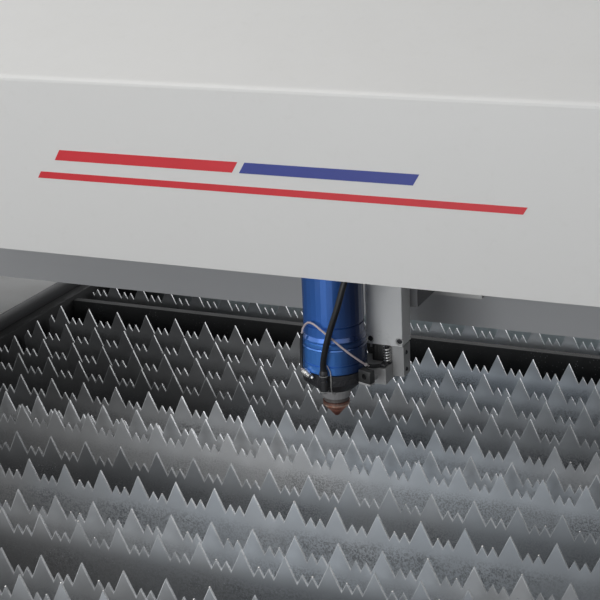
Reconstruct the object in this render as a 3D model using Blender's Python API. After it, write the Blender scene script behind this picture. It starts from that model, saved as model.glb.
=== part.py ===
# Gantry fiber laser cutting machine with a sawtooth slat bed.
# Metres, +Z up, X along the gantry, front of the machine towards -Y, floor at Z = 0.
import math

import bmesh
import bpy
from mathutils import Matrix, Vector

GAP = 0.0003                # clearance between pieces that touch
WELD_SINK = 0.003           # how far welded shapes run into each other

# Slat bed
TIP_HEIGHT = 0.800          # tooth tips above the floor
TOOTH_PITCH = 0.040
TOOTH_RISE = 0.0229         # large tooth, from valley to tip
TOOTH_HALF = 0.0107         # half the base of a large tooth
SMALL_RISE = 0.0090         # the two small teeth between large ones
SLAT_THICK = 0.002
SLAT_DEPTH = 0.075          # from tooth tip to lower edge
SLAT_END_GAP = 0.003
SLAT_SPACE = 0.050          # usual distance from slat to slat
SLAT_STEPS = (0.69, 1.32, 0.74, 1.22, 1.06, 1.25, 0.50,
              0.94, 1.11, 0.97, 1.06, 1.13, 2.10)
SLAT_SHIFTS = (0.403, 0.368, 0.280, 0.100, 0.401, 0.176, 0.305, 0.384,
               0.084, 0.093, 0.147, 0.086, 0.032, 0.362)
BED_WIDTH = 1.000           # between the side walls
FRONT_SLAT_GAP = 0.045      # front wall to first slat
BACK_SLAT_GAP = 0.050       # last slat to back wall
COMB_THICK = 0.006
COMB_RISE = 0.020           # how high a comb stands beside a slat
COMB_BASE = 0.025           # comb below its slots
BAR_THICK = 0.010           # dark bar that divides the slat field
BAR_RISE = 0.040
BAR_BEHIND = 0.065          # bar behind the slat in front of it
BAR_AFTER_STEP = 12         # the bar stands in this gap between slats

# Trough under the slats
WALL_BELOW_TIP = 0.010
TROUGH_THICK = 0.003
TROUGH_LEDGE = 0.028
TROUGH_LIP = 0.045
FUNNEL_HALF_X = 0.300
FUNNEL_FRONT_IN = 0.1385    # from the front wall to the funnel's mouth
FUNNEL_BACK_IN = 0.101
FUNNEL_CLEAR = 0.0467       # above the drawer

# Welded base
FRAME_HALF_Y = 0.590
FRONT_MARGIN = 0.0715       # from the front face to the front wall of the slat field
LEG_SIZE = 0.080
LEG_FOOT_HEIGHT = 0.050
BEAM_BESIDE_BED = 0.030
SIDE_BEAM_WIDTH = 0.110
SIDE_BEAM_DEPTH = 0.155
CROSS_WIDTH = 0.050
TIE_BOTTOM = 0.060
TIE_HEIGHT = 0.040
RUNNER_IN = 0.280
RUNNER_WIDTH = 0.050
RUNNER_HEIGHT = 0.018
FOOT_RADIUS = 0.040
FOOT_PLATE = 0.012
FOOT_EDGE = 0.006
STUD_RADIUS = 0.010
STUD_COLLAR = 0.016
PANEL_THICK = 0.002
COVER_BESIDE_BED = 0.017
COVER_ABOVE_TIP = 0.010
COVER_SKIRT = 0.035
COVER_BEND = 0.0018

# Drawer, door, button and laser source
DRAWER_HALF = 0.335
DRAWER_HEIGHT = 0.235
DRAWER_WALL = 0.002
DRAWER_FRONT_HALF = 0.344
DRAWER_FRONT_HEIGHT = 0.250
GRIP_HALF = 0.090
GRIP_HEIGHT = 0.028
GRIP_BELOW_EDGE = 0.050
DOOR_HALF = 0.300
DOOR_ABOVE_TIE = 0.090
DOOR_BELOW_BEAM = 0.0517
DOOR_GAP = 0.0015
LOUVRE_COUNT = 4
LOUVRE_HALF = 0.150
LOUVRE_HEIGHT = 0.012
LOUVRE_SPACE = 0.036
LOUVRE_ABOVE_EDGE = 0.072
LATCH_IN = 0.036
LATCH_WIDTH = 0.0215
LATCH_HEIGHT = 0.1075
STOP_BOX = 0.050
STOP_BOX_RISE = 0.030
STOP_BOX_FLOOR = 0.010
STOP_MARGIN = 0.012
STOP_HEAD_RADIUS = 0.018
STOP_STEM_RADIUS = 0.009
STOP_STEM_RISE = 0.014
STOP_STEM_CLEAR = 0.007     # stem above the floor of its bore
STOP_HEAD_RISE = 0.012
SOURCE_HALF = 0.310
SOURCE_DEPTH = 0.180
SOURCE_HEIGHT = 0.220
SOURCE_CLEAR = 0.150        # between the drawer and the source
BOX_BEVEL = 0.004
SMALL_BEVEL = 0.003

# Long axis along Y
Y_RAIL_WIDTH = 0.023
Y_RAIL_THICK = 0.018
Y_RAIL_END = 0.020          # rail end to the end of the side beam
RAIL_BELOW_BEAM_TOP = 0.0402
SCREW_BELOW_RAIL = 0.0565
SCREW_OUT = 0.028           # screw axis outside the side beam
Y_SCREW_RADIUS = 0.010
FRONT_BEARING_IN = 0.110    # from the front face to the bearing
BACK_BEARING_IN = 0.040
BEARING_LENGTH = 0.020
BEARING_HALF = 0.018
Y_MOTOR_HALF = 0.030
Y_MOTOR_LENGTH = 0.090

# Gantry
GANTRY_Y = 0.0965           # middle of the beam
BEAM_WIDTH = 0.120
BEAM_HEIGHT = 0.140
BEAM_WALL = 0.006
BEAM_CLEAR = 0.065          # beam above the tooth tips
END_OUT = 0.050             # leg plate outside the side beam
END_THICK = 0.015
END_HALF_Y = 0.090
POST_HALF_Y = 0.030
BLOCK_WRAP = 0.010
BLOCK_ON_RAIL = 0.0099      # how far a shoe reaches over its rail
HOOD_PAST_END = 0.050
HOOD_BEFORE_HEAD = 0.0692
HOOD_BEHIND_BEAM = 0.040
HOOD_ABOVE_BEAM_FOOT = 0.121
HOOD_FRONT_RISE = 0.171
HOOD_SLOPE_RISE = 0.063
HOOD_SLOPE_RUN = 0.165
HOOD_BACK_ABOVE_BEAM_FOOT = 0.035
HOOD_SHEET = 0.002
HOOD_BEND = 0.006
HOOD_LIP = 0.012
X_RAIL_WIDTH = 0.015
X_RAIL_THICK = 0.014
X_RAIL_RISE = 0.060         # lower rail above the foot of the beam
X_RAIL_SPACE = 0.060
X_RAIL_END = 0.020
SHOE_ON_RAIL = 0.0063
X_SCREW_RADIUS = 0.008
X_SCREW_FORWARD = 0.014     # screw axis in front of the beam
LEFT_BEARING_IN = 0.100
RIGHT_BEARING_IN = 0.040
X_MOTOR_HALF = 0.028
X_MOTOR_LENGTH = 0.085
X_NUT_HALF = 0.011

# Carriage and lifting axis
PLATE_LEFT = -0.045
PLATE_RIGHT = 0.105
PLATE_THICK = 0.012
SHOE_CLEAR = 0.028          # plate in front of the beam
SHOE_WRAP = 0.007
HOUSING_HALF = 0.026
HOUSING_WALL = 0.010
HOUSING_HEIGHT = 0.175
HOUSING_DEPTH = 0.0814
LIFT_X = 0.0408             # lifting screw to the right of the head
LIFT_SCREW_RADIUS = 0.006
LIFT_SCREW_BACK = 0.0412    # screw axis in front of the carriage plate
LIFT_MOTOR_HALF = 0.021
LIFT_MOTOR_HEIGHT = 0.050
COVER_HALF = 0.0185
COVER_DEPTH = 0.023
COVER_SHEET = 0.0025
COVER_EDGE = 0.0008
COVER_ABOVE_NOZZLE = 0.067
COVER_HEIGHT = 0.128
SLIDE_ABOVE_NOZZLE = 0.0350
SLIDE_FOOT_RISE = 0.0305
SLIDE_FOOT_HALF = 0.0066
SLIDE_ABOVE_COVER = 0.025
BRACKET_HEIGHT = 0.023
BRACKET_REACH = 0.020
NUT_ABOVE_HOUSING = 0.032
NUT_RISE = 0.028
NUT_CLEAR = 0.0012
ARM_ABOVE_RING = 0.004
ARM_RISE = 0.016
ARM_BACK_OFF = 0.0443       # arm's back behind the head axis
ARM_FRONT_OFF = 0.0093
ARM_LEFT = 0.005
ARM_INTO_FOOT = 0.0020

# Cutting head, on a vertical axis at X = 0
HEAD_FORWARD = 0.1308       # head axis in front of the carriage plate
NOZZLE_CLEAR = 0.025        # nozzle above the tooth tips
NOZZLE_RISE = 0.016
NOZZLE_RING_RISE = 0.004
CONE_RISE = 0.009
RING_TAPER_RISE = 0.012
RING_RISE = 0.022
LOWER_RISE = 0.031
UPPER_RISE = 0.078
NECK_RISE = 0.045
LOWER_RADIUS = 0.031
UPPER_RADIUS = 0.029
NECK_RADIUS = 0.022
RING_TIP_RADIUS = 0.017
RING_EDGE = 0.0015
CONE_RADIUS = 0.015
CONE_FOOT_RADIUS = 0.0135
CONE_EDGE = 0.002
NOZZLE_RING_RADIUS = 0.012
NOZZLE_RADIUS = 0.013
NOZZLE_TIP_RADIUS = 0.0025
NOZZLE_BORE = 0.0012
GROOVE_DEPTH = 0.0012
GROOVE_SIDE = 0.0006
GROOVE_FLOOR = 0.0010
UPPER_GROOVE = 0.0150       # above the lower edge of its body
LOWER_GROOVE = 0.0085
SEAM_GROOVE = 0.0248
HEAD_EDGE = 0.001
HOSE_RADIUS = 0.003
CABLE_RADIUS = 0.001
FITTING_RADIUS = 0.004
FITTING_X = 0.003
FITTING_ABOVE_RING = 0.0075
FITTING_HEIGHT = 0.0175
FITTING_WAIST = 0.0032
PLUG_RADIUS = 0.0026
# Places from here on are measured from the head axis at the tip of the nozzle
PLUG_START = (-0.02105, -0.0271, 0.0525)
PLUG_END = (-0.0121, -0.0321, 0.0500)
HOSE_ROUTE = (
    (0.0030, -0.0353, 0.0543), (0.0030, -0.0357, 0.0620), (0.0045, -0.0369, 0.0720),
    (0.0080, -0.0382, 0.0855), (0.0120, -0.0385, 0.0990), (0.0165, -0.0385, 0.1120),
    (0.0212, -0.0379, 0.1260), (0.0262, -0.0357, 0.1450), (0.0315, -0.0297, 0.1655),
    (0.0365, -0.0207, 0.1860), (0.0400, -0.0087, 0.2020), (0.0408, 0.0008, 0.2075),
    (0.0408, 0.0080, 0.2085))
CABLE_ROUTE = (
    (-0.0214, -0.0269, 0.0526), (-0.0230, -0.0259, 0.0535), (-0.0240, -0.0250, 0.0570),
    (-0.0240, -0.0242, 0.0640), (-0.0239, -0.0241, 0.0735), (-0.0234, -0.0242, 0.0840),
    (-0.0204, -0.0260, 0.0955), (-0.0136, -0.0302, 0.1032), (-0.0070, -0.0327, 0.1035),
    (0.0000, -0.0338, 0.0995), (0.0062, -0.0332, 0.0945), (0.0117, -0.0317, 0.0895),
    (0.0179, -0.0287, 0.0826), (0.0240, -0.0238, 0.0749), (0.0295, -0.0164, 0.0667),
    (0.0334, -0.0052, 0.0575), (0.0358, 0.0040, 0.0525), (0.0385, 0.0105, 0.0506),
    (0.0435, 0.0150, 0.0504))

# Worked-out places
WALL_TOP = TIP_HEIGHT - WALL_BELOW_TIP
FRAME_TOP = WALL_TOP - TROUGH_THICK - GAP
SIDE_BEAM_BOTTOM = FRAME_TOP - SIDE_BEAM_DEPTH
SIDE_BEAM_INNER = BED_WIDTH / 2 + BEAM_BESIDE_BED
SIDE_BEAM_OUTER = SIDE_BEAM_INNER + SIDE_BEAM_WIDTH
SLAT_BOTTOM = TIP_HEIGHT - SLAT_DEPTH
COMB_BOTTOM = SLAT_BOTTOM - COMB_BASE
COMB_TOP = SLAT_BOTTOM + COMB_RISE
FIELD_FRONT = FRONT_MARGIN - FRAME_HALF_Y
FIELD_BACK = FIELD_FRONT + FRONT_SLAT_GAP + sum(SLAT_STEPS) * SLAT_SPACE + BACK_SLAT_GAP
RUNNER_TOP = TIE_BOTTOM + TIE_HEIGHT + RUNNER_HEIGHT
DRAWER_BOTTOM = RUNNER_TOP + GAP
DRAWER_DEPTH = FRAME_HALF_Y * 2 - CROSS_WIDTH - SOURCE_DEPTH - SOURCE_CLEAR
FUNNEL_FRONT = FIELD_FRONT + FUNNEL_FRONT_IN
FUNNEL_BACK = FIELD_BACK - FUNNEL_BACK_IN
FUNNEL_BOTTOM = DRAWER_BOTTOM + DRAWER_HEIGHT + FUNNEL_CLEAR
DOOR_BOTTOM = TIE_BOTTOM + DOOR_ABOVE_TIE
DOOR_TOP = SIDE_BEAM_BOTTOM - DOOR_BELOW_BEAM
COVER_TOP_HEIGHT = TIP_HEIGHT + COVER_ABOVE_TIP
COVER_INNER = BED_WIDTH / 2 + COVER_BESIDE_BED
Y_RAIL_HALF = FRAME_HALF_Y - Y_RAIL_END
Y_RAIL_HEIGHT = FRAME_TOP - RAIL_BELOW_BEAM_TOP
Y_SCREW_HEIGHT = Y_RAIL_HEIGHT - SCREW_BELOW_RAIL
Y_SCREW_OUT = SIDE_BEAM_OUTER + SCREW_OUT
Y_BEARING_FRONT = FRONT_BEARING_IN - FRAME_HALF_Y
Y_BEARING_BACK = FRAME_HALF_Y - BACK_BEARING_IN
BEAM_FRONT = GANTRY_Y - BEAM_WIDTH / 2
BEAM_BACK = GANTRY_Y + BEAM_WIDTH / 2
BEAM_BOTTOM = TIP_HEIGHT + BEAM_CLEAR
END_INNER = SIDE_BEAM_OUTER + END_OUT
END_BOTTOM = Y_SCREW_HEIGHT - Y_MOTOR_HALF
X_RAIL_LOW = BEAM_BOTTOM + X_RAIL_RISE
X_RAIL_HIGH = X_RAIL_LOW + X_RAIL_SPACE
X_BEARING_LEFT = LEFT_BEARING_IN - END_INNER
X_BEARING_RIGHT = END_INNER - RIGHT_BEARING_IN
PLATE_BACK = BEAM_FRONT - SHOE_CLEAR
PLATE_FRONT = PLATE_BACK - PLATE_THICK
HEAD_Y = PLATE_FRONT - HEAD_FORWARD
HOUSING_BOTTOM = X_RAIL_LOW
HOUSING_TOP = HOUSING_BOTTOM + HOUSING_HEIGHT
HOUSING_BACK = PLATE_FRONT - GAP
HOUSING_FRONT = HOUSING_BACK - HOUSING_DEPTH
LIFT_Y = HOUSING_BACK - LIFT_SCREW_BACK
NOZZLE_TIP = TIP_HEIGHT + NOZZLE_CLEAR
NOZZLE_RING_BOTTOM = NOZZLE_TIP + NOZZLE_RISE
CONE_BOTTOM = NOZZLE_RING_BOTTOM + NOZZLE_RING_RISE
RING_BOTTOM = CONE_BOTTOM + CONE_RISE
LOWER_BOTTOM = RING_BOTTOM + RING_RISE
UPPER_BOTTOM = LOWER_BOTTOM + LOWER_RISE
UPPER_TOP = UPPER_BOTTOM + UPPER_RISE
COVER_BACK = HOUSING_FRONT - GAP
COVER_FRONT = COVER_BACK - COVER_DEPTH
COVER_BOTTOM = NOZZLE_TIP + COVER_ABOVE_NOZZLE
COVER_TOP = COVER_BOTTOM + COVER_HEIGHT
SLIDE_FRONT = COVER_FRONT + COVER_SHEET + GAP
SLIDE_BOTTOM = NOZZLE_TIP + SLIDE_ABOVE_NOZZLE
SLIDE_FOOT_TOP = SLIDE_BOTTOM + SLIDE_FOOT_RISE
SLIDE_TOP = COVER_TOP + SLIDE_ABOVE_COVER
NUT_BOTTOM = HOUSING_BOTTOM + NUT_ABOVE_HOUSING
NUT_TOP = NUT_BOTTOM + NUT_RISE
ARM_BOTTOM = RING_BOTTOM + ARM_ABOVE_RING
ARM_TOP = ARM_BOTTOM + ARM_RISE
HOOD_HALF_X = END_INNER + HOOD_PAST_END
HOOD_FRONT = HEAD_Y - HOOD_BEFORE_HEAD
HOOD_BACK = BEAM_BACK + HOOD_BEHIND_BEAM
HOOD_FRONT_BOTTOM = BEAM_BOTTOM + HOOD_ABOVE_BEAM_FOOT
HOOD_FRONT_TOP = HOOD_FRONT_BOTTOM + HOOD_FRONT_RISE
HOOD_ROOF = HOOD_FRONT_TOP + HOOD_SLOPE_RISE
HOOD_ROOF_START = HOOD_FRONT + HOOD_SLOPE_RUN
HOOD_BACK_BOTTOM = BEAM_BOTTOM + HOOD_BACK_ABOVE_BEAM_FOOT


def material(name, colour, roughness, metallic=0.0):
    made = bpy.data.materials.get(name)
    if made:
        return made
    made = bpy.data.materials.new(name)
    made.use_nodes = True
    shader = made.node_tree.nodes["Principled BSDF"]
    shader.inputs["Base Color"].default_value = (*colour, 1.0)
    shader.inputs["Roughness"].default_value = roughness
    shader.inputs["Metallic"].default_value = metallic
    made.diffuse_color = (*colour, 1.0)
    return made


def white_paint():
    return material("white_paint", (0.70, 0.70, 0.69), 0.40)


def grey_paint():
    return material("grey_paint", (0.20, 0.20, 0.21), 0.50)


def dark_paint():
    return material("dark_paint", (0.03, 0.03, 0.035), 0.60)


def zinc():
    return material("zinc_steel", (0.33, 0.34, 0.36), 0.45, 1.0)


def bare_steel():
    return material("ground_steel", (0.52, 0.53, 0.54), 0.30, 1.0)


def satin_alloy():
    return material("satin_aluminium", (0.72, 0.71, 0.68), 0.38, 1.0)


def blue_anodised():
    return material("blue_anodised", (0.02, 0.12, 0.55), 0.30, 0.8)


def black_plastic():
    return material("black_plastic", (0.015, 0.015, 0.017), 0.45)


def copper():
    return material("copper", (0.72, 0.32, 0.20), 0.35, 1.0)


def red_plastic():
    return material("red_plastic", (0.60, 0.02, 0.02), 0.35)


def yellow_plastic():
    return material("yellow_plastic", (0.80, 0.55, 0.03), 0.45)


def cable_skin():
    return material("cable_skin", (0.62, 0.50, 0.52), 0.50)


def anchor(name, place, parent=None):
    empty = bpy.data.objects.new(name, None)
    bpy.context.scene.collection.objects.link(empty)
    empty.parent = parent
    empty.location = Vector(place) - (world_of(parent) if parent else Vector())
    return empty


def world_of(holder):
    place = Vector()
    while holder:
        place += holder.location
        holder = holder.parent
    return place


def add(name, bm, finish, parent, origin=(0, 0, 0), smooth=None):
    """Make an object from a bmesh given in world places, with its origin where asked."""
    bmesh.ops.translate(bm, verts=bm.verts, vec=-Vector(origin))
    bmesh.ops.recalc_face_normals(bm, faces=bm.faces)
    mesh = bpy.data.meshes.new(name)
    bm.to_mesh(mesh)
    bm.free()
    if smooth:
        mesh.shade_smooth()
        mesh.set_sharp_from_angle(angle=math.radians(smooth))
    mesh.materials.append(finish)
    made = bpy.data.objects.new(name, mesh)
    bpy.context.scene.collection.objects.link(made)
    made.parent = parent
    made.location = Vector(origin) - world_of(parent)
    return made


def box_mesh(low, high):
    bm = bmesh.new()
    bmesh.ops.create_cube(bm, size=1.0)
    size = Vector(high) - Vector(low)
    middle = (Vector(high) + Vector(low)) / 2
    bmesh.ops.scale(bm, verts=bm.verts, vec=size)
    bmesh.ops.translate(bm, verts=bm.verts, vec=middle)
    return bm


def prism_mesh(outline, axis, start, end):
    """Extrude a closed outline along X, Y or Z; the outline holds the other two axes in order."""
    bm = bmesh.new()
    spots = []
    for first, second in outline:
        if axis == "X":
            spots.append((start, first, second))
        elif axis == "Y":
            spots.append((first, start, second))
        else:
            spots.append((first, second, start))
    face = bm.faces.new([bm.verts.new(spot) for spot in spots])
    step = {"X": (end - start, 0, 0), "Y": (0, end - start, 0), "Z": (0, 0, end - start)}[axis]
    grown = bmesh.ops.extrude_face_region(bm, geom=[face])
    moved = [item for item in grown["geom"] if isinstance(item, bmesh.types.BMVert)]
    bmesh.ops.translate(bm, verts=moved, vec=step)
    return bm


def turned_mesh(profile, centre, steps):
    """Spin a profile of (radius, height) about a vertical line through centre."""
    bm = bmesh.new()
    spots = [bm.verts.new((radius, 0, height)) for radius, height in profile]
    edges = [bm.edges.new(pair) for pair in zip(spots, spots[1:])]
    if min(radius for radius, height in profile) > 0:
        edges.append(bm.edges.new((spots[-1], spots[0])))
    bmesh.ops.spin(bm, geom=spots + edges, cent=(0, 0, 0), axis=(0, 0, 1),
                   angle=math.tau, steps=steps, use_merge=True)
    bmesh.ops.remove_doubles(bm, verts=bm.verts, dist=1e-6)
    bmesh.ops.translate(bm, verts=bm.verts, vec=centre)
    return bm


def rod_mesh(start, end, radius, steps):
    start, end = Vector(start), Vector(end)
    bm = bmesh.new()
    bmesh.ops.create_cone(bm, cap_ends=True, segments=steps, radius1=radius, radius2=radius,
                          depth=(end - start).length)
    turn = Vector((0, 0, 1)).rotation_difference(end - start).to_matrix().to_4x4()
    bmesh.ops.transform(bm, matrix=Matrix.Translation((start + end) / 2) @ turn, verts=bm.verts)
    return bm


def helper(bm, owner, operation, name):
    """Join a shape to an object, or cut it away, with a live Boolean."""
    mesh = bpy.data.meshes.new(name)
    bmesh.ops.translate(bm, verts=bm.verts, vec=-world_of(owner))
    bmesh.ops.recalc_face_normals(bm, faces=bm.faces)
    bm.to_mesh(mesh)
    bm.free()
    tool = bpy.data.objects.new(name, mesh)
    bpy.context.scene.collection.objects.link(tool)
    tool.parent = owner
    tool.hide_render = True
    tool.display_type = "WIRE"
    change = owner.modifiers.new(name, "BOOLEAN")
    change.operation = operation
    change.object = tool
    change.solver = "EXACT"


def soften(owner, width, segments):
    change = owner.modifiers.new("edges", "BEVEL")
    change.width = width
    change.segments = segments


def cut(owner, bm, name):
    helper(bm, owner, "DIFFERENCE", owner.name + "_" + name)


def weld(owner, bm, name):
    helper(bm, owner, "UNION", owner.name + "_" + name)


def rounded(outline, radii, steps=3):
    """Replace the corners that have a radius with short arcs."""
    result = []
    count = len(outline)
    for index, corner in enumerate(outline):
        radius = radii.get(index, 0)
        here = Vector(corner)
        if not radius:
            result.append(tuple(here))
            continue
        before = (Vector(outline[index - 1]) - here).normalized()
        after = (Vector(outline[(index + 1) % count]) - here).normalized()
        half = before.angle(after) / 2
        middle = here + (before + after).normalized() * (radius / math.sin(half))
        first = here + before * (radius / math.tan(half)) - middle
        last = here + after * (radius / math.tan(half)) - middle
        for step in range(steps + 1):
            mixed = first.lerp(last, step / steps).normalized() * radius
            result.append(tuple(middle + mixed))
    return result


def tube(name, route, radius, finish, parent, count, sides):
    """A hose: a round section swept along a smooth curve through places near the head."""
    points = [Vector(spot) + Vector((0, HEAD_Y, NOZZLE_TIP)) for spot in route]
    ends = [points[0] * 2 - points[1]] + points + [points[-1] * 2 - points[-2]]
    spans = len(points) - 1
    spots = []
    for index in range(count + 1):
        travel = index / count * spans
        span = min(int(travel), spans - 1)
        t = travel - span
        a, b, c, d = ends[span:span + 4]
        spots.append(0.5 * (2 * b + (c - a) * t + (2 * a - 5 * b + 4 * c - d) * t * t
                            + (3 * b - a - 3 * c + d) * t ** 3))
    curve = bpy.data.curves.new(name, "CURVE")
    curve.dimensions = "3D"
    curve.bevel_depth = radius
    curve.bevel_resolution = sides
    curve.use_fill_caps = True
    line = curve.splines.new("POLY")
    line.points.add(count)
    middle = world_of(parent)
    for point, spot in zip(line.points, spots):
        point.co = (*(spot - middle), 1.0)
    curve.materials.append(finish)
    made = bpy.data.objects.new(name, curve)
    bpy.context.scene.collection.objects.link(made)
    made.parent = parent
    return made


def slat_places():
    places = [FIELD_FRONT + FRONT_SLAT_GAP]
    for step in SLAT_STEPS:
        places.append(places[-1] + step * SLAT_SPACE)
    return places


def tooth_height(travel):
    """Height of the sawtooth edge at a place along one pitch, from 0 to TOOTH_PITCH."""
    valley = TIP_HEIGHT - TOOTH_RISE
    small_step = (TOOTH_PITCH / 2 - TOOTH_HALF) / 2
    marks = ((0, TIP_HEIGHT), (TOOTH_HALF, valley),
             (TOOTH_HALF + small_step, valley + SMALL_RISE),
             (TOOTH_PITCH / 2, valley),
             (TOOTH_PITCH / 2 + small_step, valley + SMALL_RISE),
             (TOOTH_PITCH - TOOTH_HALF, valley), (TOOTH_PITCH, TIP_HEIGHT))
    for (left, low), (right, high) in zip(marks, marks[1:]):
        if travel <= right:
            return low + (high - low) * (travel - left) / (right - left)
    return TIP_HEIGHT


def slat_outline(shift):
    """Upper edge with its teeth from left to right, then the two lower corners."""
    half = BED_WIDTH / 2 - SLAT_END_GAP
    small_step = (TOOTH_PITCH / 2 - TOOTH_HALF) / 2
    offsets = (0, TOOTH_HALF, TOOTH_HALF + small_step, TOOTH_PITCH / 2,
               TOOTH_PITCH / 2 + small_step, TOOTH_PITCH - TOOTH_HALF)
    first = math.floor(-half / TOOTH_PITCH) - 1
    last = math.ceil(half / TOOTH_PITCH) + 1
    clear = TOOTH_PITCH / 50
    edge = []
    for number in range(first, last):
        for offset in offsets:
            place = (number + shift) * TOOTH_PITCH + offset
            if -half + clear < place < half - clear:
                edge.append((place, tooth_height(offset)))
    ends = []
    for side in (-half, half):
        ends.append((side, tooth_height((side - shift * TOOTH_PITCH) % TOOTH_PITCH)))
    return [ends[0]] + edge + [ends[1], (half, SLAT_BOTTOM), (-half, SLAT_BOTTOM)]


def build_slats(bed):
    for number, (place, shift) in enumerate(zip(slat_places(), SLAT_SHIFTS), 1):
        bm = prism_mesh(slat_outline(shift), "Y", place - SLAT_THICK / 2, place + SLAT_THICK / 2)
        add("slat_%02d" % number, bm, zinc(), bed, (0, place, SLAT_BOTTOM))


def build_combs(bed):
    """Slotted bars on the trough's ledge that hold the slats upright."""
    slot = SLAT_THICK / 2 + GAP
    front = FIELD_FRONT + GAP
    back = FIELD_BACK - GAP
    outline = [(front, COMB_BOTTOM), (front, COMB_TOP)]
    for place in slat_places():
        outline += [(place - slot, COMB_TOP), (place - slot, SLAT_BOTTOM - GAP),
                    (place + slot, SLAT_BOTTOM - GAP), (place + slot, COMB_TOP)]
    outline += [(back, COMB_TOP), (back, COMB_BOTTOM)]
    middle = BED_WIDTH / 2 - TROUGH_LEDGE / 2
    for name, side in (("comb_left", -1), ("comb_right", 1)):
        bm = prism_mesh(outline, "X", side * middle - COMB_THICK / 2, side * middle + COMB_THICK / 2)
        add(name, bm, dark_paint(), bed, (side * middle, 0, COMB_BOTTOM))


def build_cross_bar(bed):
    middle = slat_places()[BAR_AFTER_STEP] + BAR_BEHIND
    half = BED_WIDTH / 2 - GAP
    low = (-half, middle - BAR_THICK / 2, COMB_TOP + GAP)
    high = (half, middle + BAR_THICK / 2, COMB_TOP + GAP + BAR_RISE)
    add("cross_bar", box_mesh(low, high), dark_paint(), bed, (0, middle, COMB_TOP))


def ring_of(bm, half_x, front, back, height):
    return [bm.verts.new(spot) for spot in ((-half_x, front, height), (half_x, front, height),
                                            (half_x, back, height), (-half_x, back, height))]


def build_trough(bed):
    """Open funnel of sheet: upright walls, a ledge for the combs, sloping sides to the drawer."""
    thick = TROUGH_THICK
    half = BED_WIDTH / 2
    ledge_top = COMB_BOTTOM - GAP
    inner_step = half - TROUGH_LEDGE
    bm = bmesh.new()
    rings = [
        ring_of(bm, half, FIELD_FRONT, FIELD_BACK, WALL_TOP),
        ring_of(bm, half, FIELD_FRONT, FIELD_BACK, ledge_top),
        ring_of(bm, inner_step, FIELD_FRONT + TROUGH_LEDGE, FIELD_BACK - TROUGH_LEDGE, ledge_top),
        ring_of(bm, FUNNEL_HALF_X, FUNNEL_FRONT, FUNNEL_BACK, FUNNEL_BOTTOM),
        ring_of(bm, FUNNEL_HALF_X + thick, FUNNEL_FRONT - thick, FUNNEL_BACK + thick, FUNNEL_BOTTOM),
        ring_of(bm, inner_step + thick, FIELD_FRONT + TROUGH_LEDGE - thick,
                FIELD_BACK - TROUGH_LEDGE + thick, ledge_top - thick),
        ring_of(bm, half + thick, FIELD_FRONT - thick, FIELD_BACK + thick, ledge_top - thick),
        ring_of(bm, half + thick, FIELD_FRONT - thick, FIELD_BACK + thick, WALL_TOP - thick),
        ring_of(bm, half + TROUGH_LIP, FIELD_FRONT - TROUGH_LIP, FIELD_BACK + TROUGH_LIP,
                WALL_TOP - thick),
        ring_of(bm, half + TROUGH_LIP, FIELD_FRONT - TROUGH_LIP, FIELD_BACK + TROUGH_LIP, WALL_TOP),
    ]
    for ring, following in zip(rings, rings[1:] + rings[:1]):
        for index in range(4):
            after = (index + 1) % 4
            bm.faces.new((ring[index], ring[after], following[after], following[index]))
    add("bed_trough", bm, dark_paint(), bed)


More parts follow.
